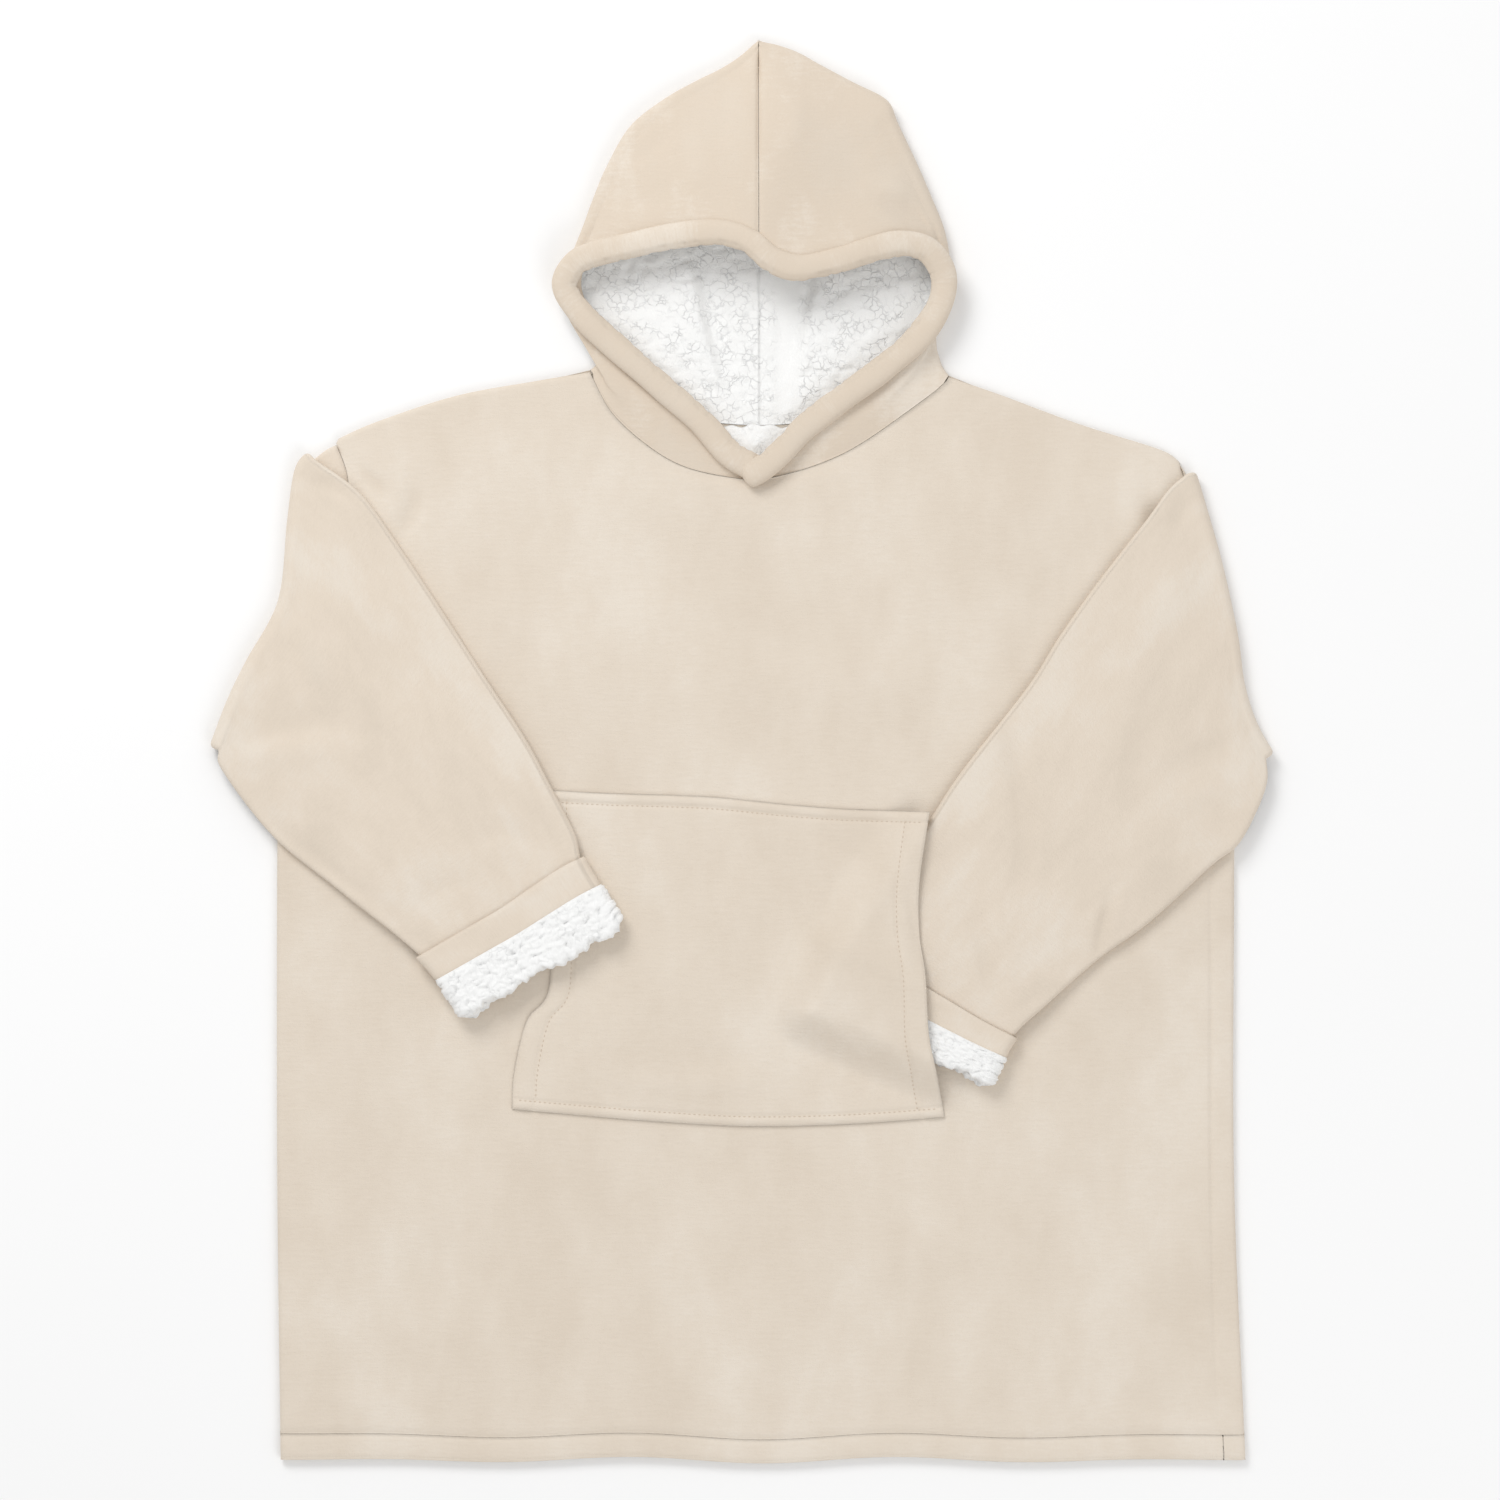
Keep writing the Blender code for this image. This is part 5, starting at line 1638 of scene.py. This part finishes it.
@dataclass
class Binding:
    """The stuffed roll round the face opening, whose left end laps over its right end at the V.

    Attributes:
        path: Its middle line from the V round to the V: x, y, z.
        half_width, half_height: Its half sizes across.
        stations, sides: Points along it and round it.
    """

    path: tuple = (
        (19, 247, 12.6), (4, 255, 13.6), (-12, 265, 14.6), (-35, 291, 16.0), (-69, 321, 18.0),
        (-108, 355, 20.0), (-138, 383, 22.0), (-155, 409, 24.0), (-147, 428, 27.5), (-130, 437, 31.0),
        (-99, 444, 36.0), (-60, 452, 42.0), (-20, 455, 46.0), (7, 447, 47.5), (27, 431, 47.0),
        (51, 424, 46.0), (85, 431, 43.5), (112, 440, 39.5), (139, 446, 35.5), (163, 441, 30.5),
        (177, 420, 25.5), (174, 394, 23.0), (155, 365, 21.5), (124, 338, 18.5), (86, 310, 17.0),
        (55, 286, 16.5), (34, 264, 17.0), (17, 250, 17.2), (1, 243, 15.6))
    half_width: float = 11.6
    half_height: float = 6.4
    stations: int = 620
    sides: int = 28

    def build(self, material: bpy.types.Material) -> bpy.types.Object:
        """Build the roll: an oval carried along the path, uneven, pinched by short wrinkles across it.

        Args:
            material: Its finish.

        Returns:
            The piece.
        """
        share = np.linspace(0, 1, self.stations)
        line = at_shares(smooth_curve(np.array(self.path)), share)
        tangent = np.gradient(line, axis=0)
        side = np.column_stack([-tangent[:, 1], tangent[:, 0], np.zeros(len(line))])
        side /= np.linalg.norm(side, axis=1)[:, None]
        run = share * 1010.0
        zero = np.zeros_like(run)
        end = np.minimum(run, run[-1] - run)
        closing = np.sqrt(1 - (1 - np.clip(end / 9.0 + 0.01, 0, 1)) ** 2)
        width = self.half_width * (1 + 0.06 * WAVES(run, zero, 34.0)) * closing
        height = self.half_height * (1 + 0.08 * FINE(run, zero + 50, 27.0)) * closing
        angles = (np.arange(self.sides) + 0.5) / self.sides * math.tau
        cosine, sine = np.cos(angles), np.sin(angles)
        oval_x = np.sign(cosine) * np.abs(cosine) ** 0.85
        oval_z = np.sign(sine) * np.abs(sine) ** 0.92
        run_grid, angle_grid = np.meshgrid(run, angles, indexing="ij")
        wrinkle = np.clip(FINE(run_grid, 9 * np.cos(angle_grid) + 5 * np.sin(angle_grid), 5.2), 0.1, 1) - 0.1
        dents = 1.1 * wrinkle * np.clip(0.3 - np.cos(angle_grid), 0, 1.3)
        groove = 1.0 * np.exp(-((angle_grid - 2.45) / 0.16) ** 2)
        reach = 1 - (dents + groove) / self.half_width * closing[:, None]
        rings = line[:, None] + side[:, None] * (width[:, None] * oval_x * reach)[:, :, None]
        rings = rings + np.array((0.0, 0.0, 1.0)) * (height[:, None] * oval_z * reach)[:, :, None]
        quads = np.vstack([grid_faces(self.stations, self.sides, False, True),
                           cap_faces(0, self.sides)[:, ::-1],
                           cap_faces((self.stations - 1) * self.sides, self.sides)])
        mesh = make_mesh("hood_binding_roll", rings, quads)
        lay_out(mesh, angle_grid * 9.0, run_grid)
        # Painted shade in the wrinkles' dents and along the groove of the roll.
        paint(mesh, "press", np.clip(0.56 - 0.25 * dents - 0.3 * groove, 0, 1))
        piece = place_piece(mesh, material, "flannel", "hood_binding")
        return piece


@dataclass
class NeckLining:
    """Sherpa facing inside the back neck, with a gathered upper edge and one soft bump."""

    rows: tuple = ((-30, 289, 56, 289), (-22, 270, 46, 270), (0, 251, 30, 251))
    wall: float = 3.0
    bump: tuple = (14.0, 274.0)

    def build(self, material: bpy.types.Material) -> bpy.types.Object:
        """Build the facing: a level patch between its two sides, piled by small tufts."""
        corners = np.array(self.rows, dtype=float)
        down = np.linspace(0, 1, 30)
        at = np.linspace(0, 1, len(corners))
        ends = np.column_stack([np.interp(down, at, column) for column in corners.T])
        share = np.linspace(0, 1, 70)
        plan = ends[:, None, 0:2] + share[None, :, None] * (ends[:, None, 2:4] - ends[:, None, 0:2])
        plan[:, :, 1] += (1.2 * np.sin(share * 31) + 1.0 * np.sin(share * 13 + 1))[None, :] * (1 - down)[:, None] ** 2
        x, y = plan[:, :, 0], plan[:, :, 1]
        tufts = Clumps(5.6, 5)(x, y)
        border = ease(np.minimum(np.minimum(share, 1 - share)[None, :] * 60, np.minimum(down, 1 - down)[:, None] * 30) / 2)
        bump_at = np.exp(-(np.hypot(x - self.bump[0], (y - self.bump[1]) * 1.5) / 9) ** 2)
        floor = WALL + SEAM_GAP
        upper = np.dstack([plan, floor + self.wall + border * (1.4 * tufts + 1.5 * bump_at - 0.4)])
        under = np.dstack([plan, np.full(plan.shape[:2], floor)])
        mesh = make_mesh("neck_lining_pile", np.concatenate([upper.reshape(-1, 3), under.reshape(-1, 3)]),
                         shell_faces(*upper.shape[:2]))
        # Painted shade between the tufts: low tufts paint the pile darker.
        paint(mesh, "press", np.clip(0.3 + tufts * 0.6, 0, 1))
        paint(mesh, "curl", np.full(plan.shape[:2], 0.5))
        piece = place_piece(mesh, material, "sherpa", "neck_lining")
        return piece


@dataclass
class Stitches:
    """A row of sewn stitches: short rounded lengths of thread, sunk in a groove.

    Attributes:
        pitch: Distance from stitch to stitch.
        length: Length of one stitch.
        radius: Half the thread's thickness.
    """

    pitch: float = 4.4
    length: float = 3.0
    radius: float = 0.42

    def thread(self, line: np.ndarray) -> np.ndarray:
        """Points of every stitch on a line: rings of six along each stitch, swollen in the middle.

        Args:
            line: Points of the stitch line.

        Returns:
            Points, stitches by rings by sides by 3.
        """
        dense = line[np.concatenate([[True], np.linalg.norm(np.diff(line, axis=0), axis=1) > 1e-6])]
        steps = np.linalg.norm(np.diff(dense, axis=0), axis=1)
        run = np.concatenate(([0.0], np.cumsum(steps)))
        count = int(run[-1] / self.pitch)
        centre_at = (np.arange(count) + 0.5) * self.pitch
        along = np.linspace(-0.5, 0.5, 5)
        at = centre_at[:, None] + along[None] * self.length
        centre = np.stack([np.interp(at, run, column) for column in dense.T], axis=2)
        tangent = np.gradient(centre, axis=1)
        tangent /= np.linalg.norm(tangent, axis=2)[:, :, None]
        side = np.cross(tangent, np.array((0.0, 0.0, 1.0)))
        side /= np.linalg.norm(side, axis=2)[:, :, None]
        up = np.cross(side, tangent)
        radius = self.radius * np.array([0.3, 0.85, 1.0, 0.85, 0.3])
        sunk = np.array([-0.7, 0.1, 0.35, 0.1, -0.7]) * self.radius * 1.6
        angles = (np.arange(6) + 0.5) / 6 * math.tau
        around = side[:, :, None] * np.cos(angles)[:, None] + up[:, :, None] * np.sin(angles)[:, None]
        return centre[:, :, None] + up[:, :, None] * sunk[:, None, None] + around * radius[:, None, None]

    def build(self, name: str, lines: list[np.ndarray], material: bpy.types.Material) -> bpy.types.Object:
        """Build all the stitches of a piece as one object.

        Args:
            name: Name of the piece.
            lines: The stitch lines.
            material: Finish of the thread.

        Returns:
            The piece.
        """
        threads = np.concatenate([self.thread(line) for line in lines])
        one = np.vstack([grid_faces(5, 6, False, True), cap_faces(0, 6)[:, ::-1], cap_faces(24, 6)])
        quads = (np.arange(len(threads))[:, None, None] * 30 + one[None]).reshape(-1, 4)
        return place_piece(make_mesh(name, threads, quads), material, "flannel")


# The studio

@dataclass
class Studio:
    """A pale floor, soft light from above and a camera straight overhead.

    Attributes:
        view_width: Width of the cloth's level that fills the picture, metres.
        height: Height of the camera over that level, metres.
        aim: Plan point under the camera, metres.
    """

    view_width: float = 1.32
    height: float = 4.5
    aim: tuple[float, float] = (0.0074, 0.0011)

    def floor(self) -> None:
        """A wide pale floor just under the garment."""
        half = 14.0
        corners = [(-half, -half, 0), (half, -half, 0), (half, half, 0), (-half, half, 0)]
        mesh = bpy.data.meshes.new("floor")
        mesh.from_pydata(corners, [], [(0, 1, 2, 3)])
        material, tree, shader = start_material("pale_floor")
        place = node(tree, "ShaderNodeTexCoord", {}, {}, "Object")
        tone = mix_colours(tree, noise(tree, place, 3.0, 2.0), (0.925, 0.925, 0.925, 1.0),
                           (0.94, 0.94, 0.94, 1.0))
        attach(tree, shader, {"Base Color": tone})
        shader.inputs["Roughness"].default_value = 0.9
        shader.inputs["Specular IOR Level"].default_value = 0.1
        mesh.materials.append(material)
        floor = bpy.data.objects.new("floor", mesh)
        bpy.context.scene.collection.objects.link(floor)

    def area_light(self, name: str, place: tuple[float, float, float], size: float, power: float) -> None:
        """A square soft light that faces the garment.

        Args:
            name: Name of the light.
            place: Where it hangs, metres.
            size: Its side, metres.
            power: Its power, watts.
        """
        data = bpy.data.lights.new(name, "AREA")
        data.shape = "SQUARE"
        data.size = size
        data.energy = power
        light = bpy.data.objects.new(name, data)
        light.location = place
        away = light.location.copy()
        light.rotation_euler = away.to_track_quat("Z", "Y").to_euler()
        bpy.context.scene.collection.objects.link(light)

    def build(self) -> None:
        """Set the floor, the lights, the sky and the camera."""
        scene = bpy.context.scene
        self.floor()
        self.area_light("key", (-1.5, 2.6, 2.7), 1.7, 75.0)
        self.area_light("fill", (1.8, -2.4, 3.0), 2.6, 40.0)
        world = bpy.data.worlds.new("studio")
        world.use_nodes = True
        background = world.node_tree.nodes["Background"]
        background.inputs["Color"].default_value = (1.0, 1.0, 1.0, 1.0)
        background.inputs["Strength"].default_value = 0.62
        scene.world = world
        scene.view_settings.view_transform = "Standard"
        data = bpy.data.cameras.new("camera")
        data.sensor_width = 36.0
        data.lens = data.sensor_width * self.height / self.view_width
        data.clip_end = 60.0
        camera = bpy.data.objects.new("camera", data)
        camera.location = (self.aim[0], self.aim[1], self.height + 0.01)
        scene.collection.objects.link(camera)
        scene.camera = camera


def main() -> None:
    """Build the studio and every piece of the garment.
    """
    logging.basicConfig(level=logging.INFO, format="%(name)s %(message)s")
    Studio().build()
    body = Flannel("flannel_body").material()
    back = Flannel("flannel_back", shift=3.1).material()
    sleeves = Flannel("flannel_sleeve", shift=1.7, body=(0.750, 0.655, 0.548, 1.0)).material()
    pocket_finish = Flannel("flannel_pocket", shift=5.3).material()
    hood_finish = Flannel("flannel_hood", shift=7.9, body=(0.700, 0.600, 0.490, 1.0)).material()
    sherpa = Sherpa("sherpa_pile").material()
    thread = Thread("sewing_thread").material()
    BodyPanels().build(body, back, body)
    for sleeve in (RIGHT_SLEEVE, LEFT_SLEEVE):
        sleeve.tube(sleeves)
        sleeve.cuff_rings(sleeves, sherpa)
    pocket = Pocket()
    pocket_piece, upper = pocket.build(pocket_finish)
    lines = [pocket.line(upper, border) for border in range(4)]
    stitches = Stitches().build("pocket_stitches", lines, thread)
    Hood().build(hood_finish, sherpa)
    Binding().build(hood_finish)
    NeckLining().build(sherpa)


if __name__ == "__main__":
    main()
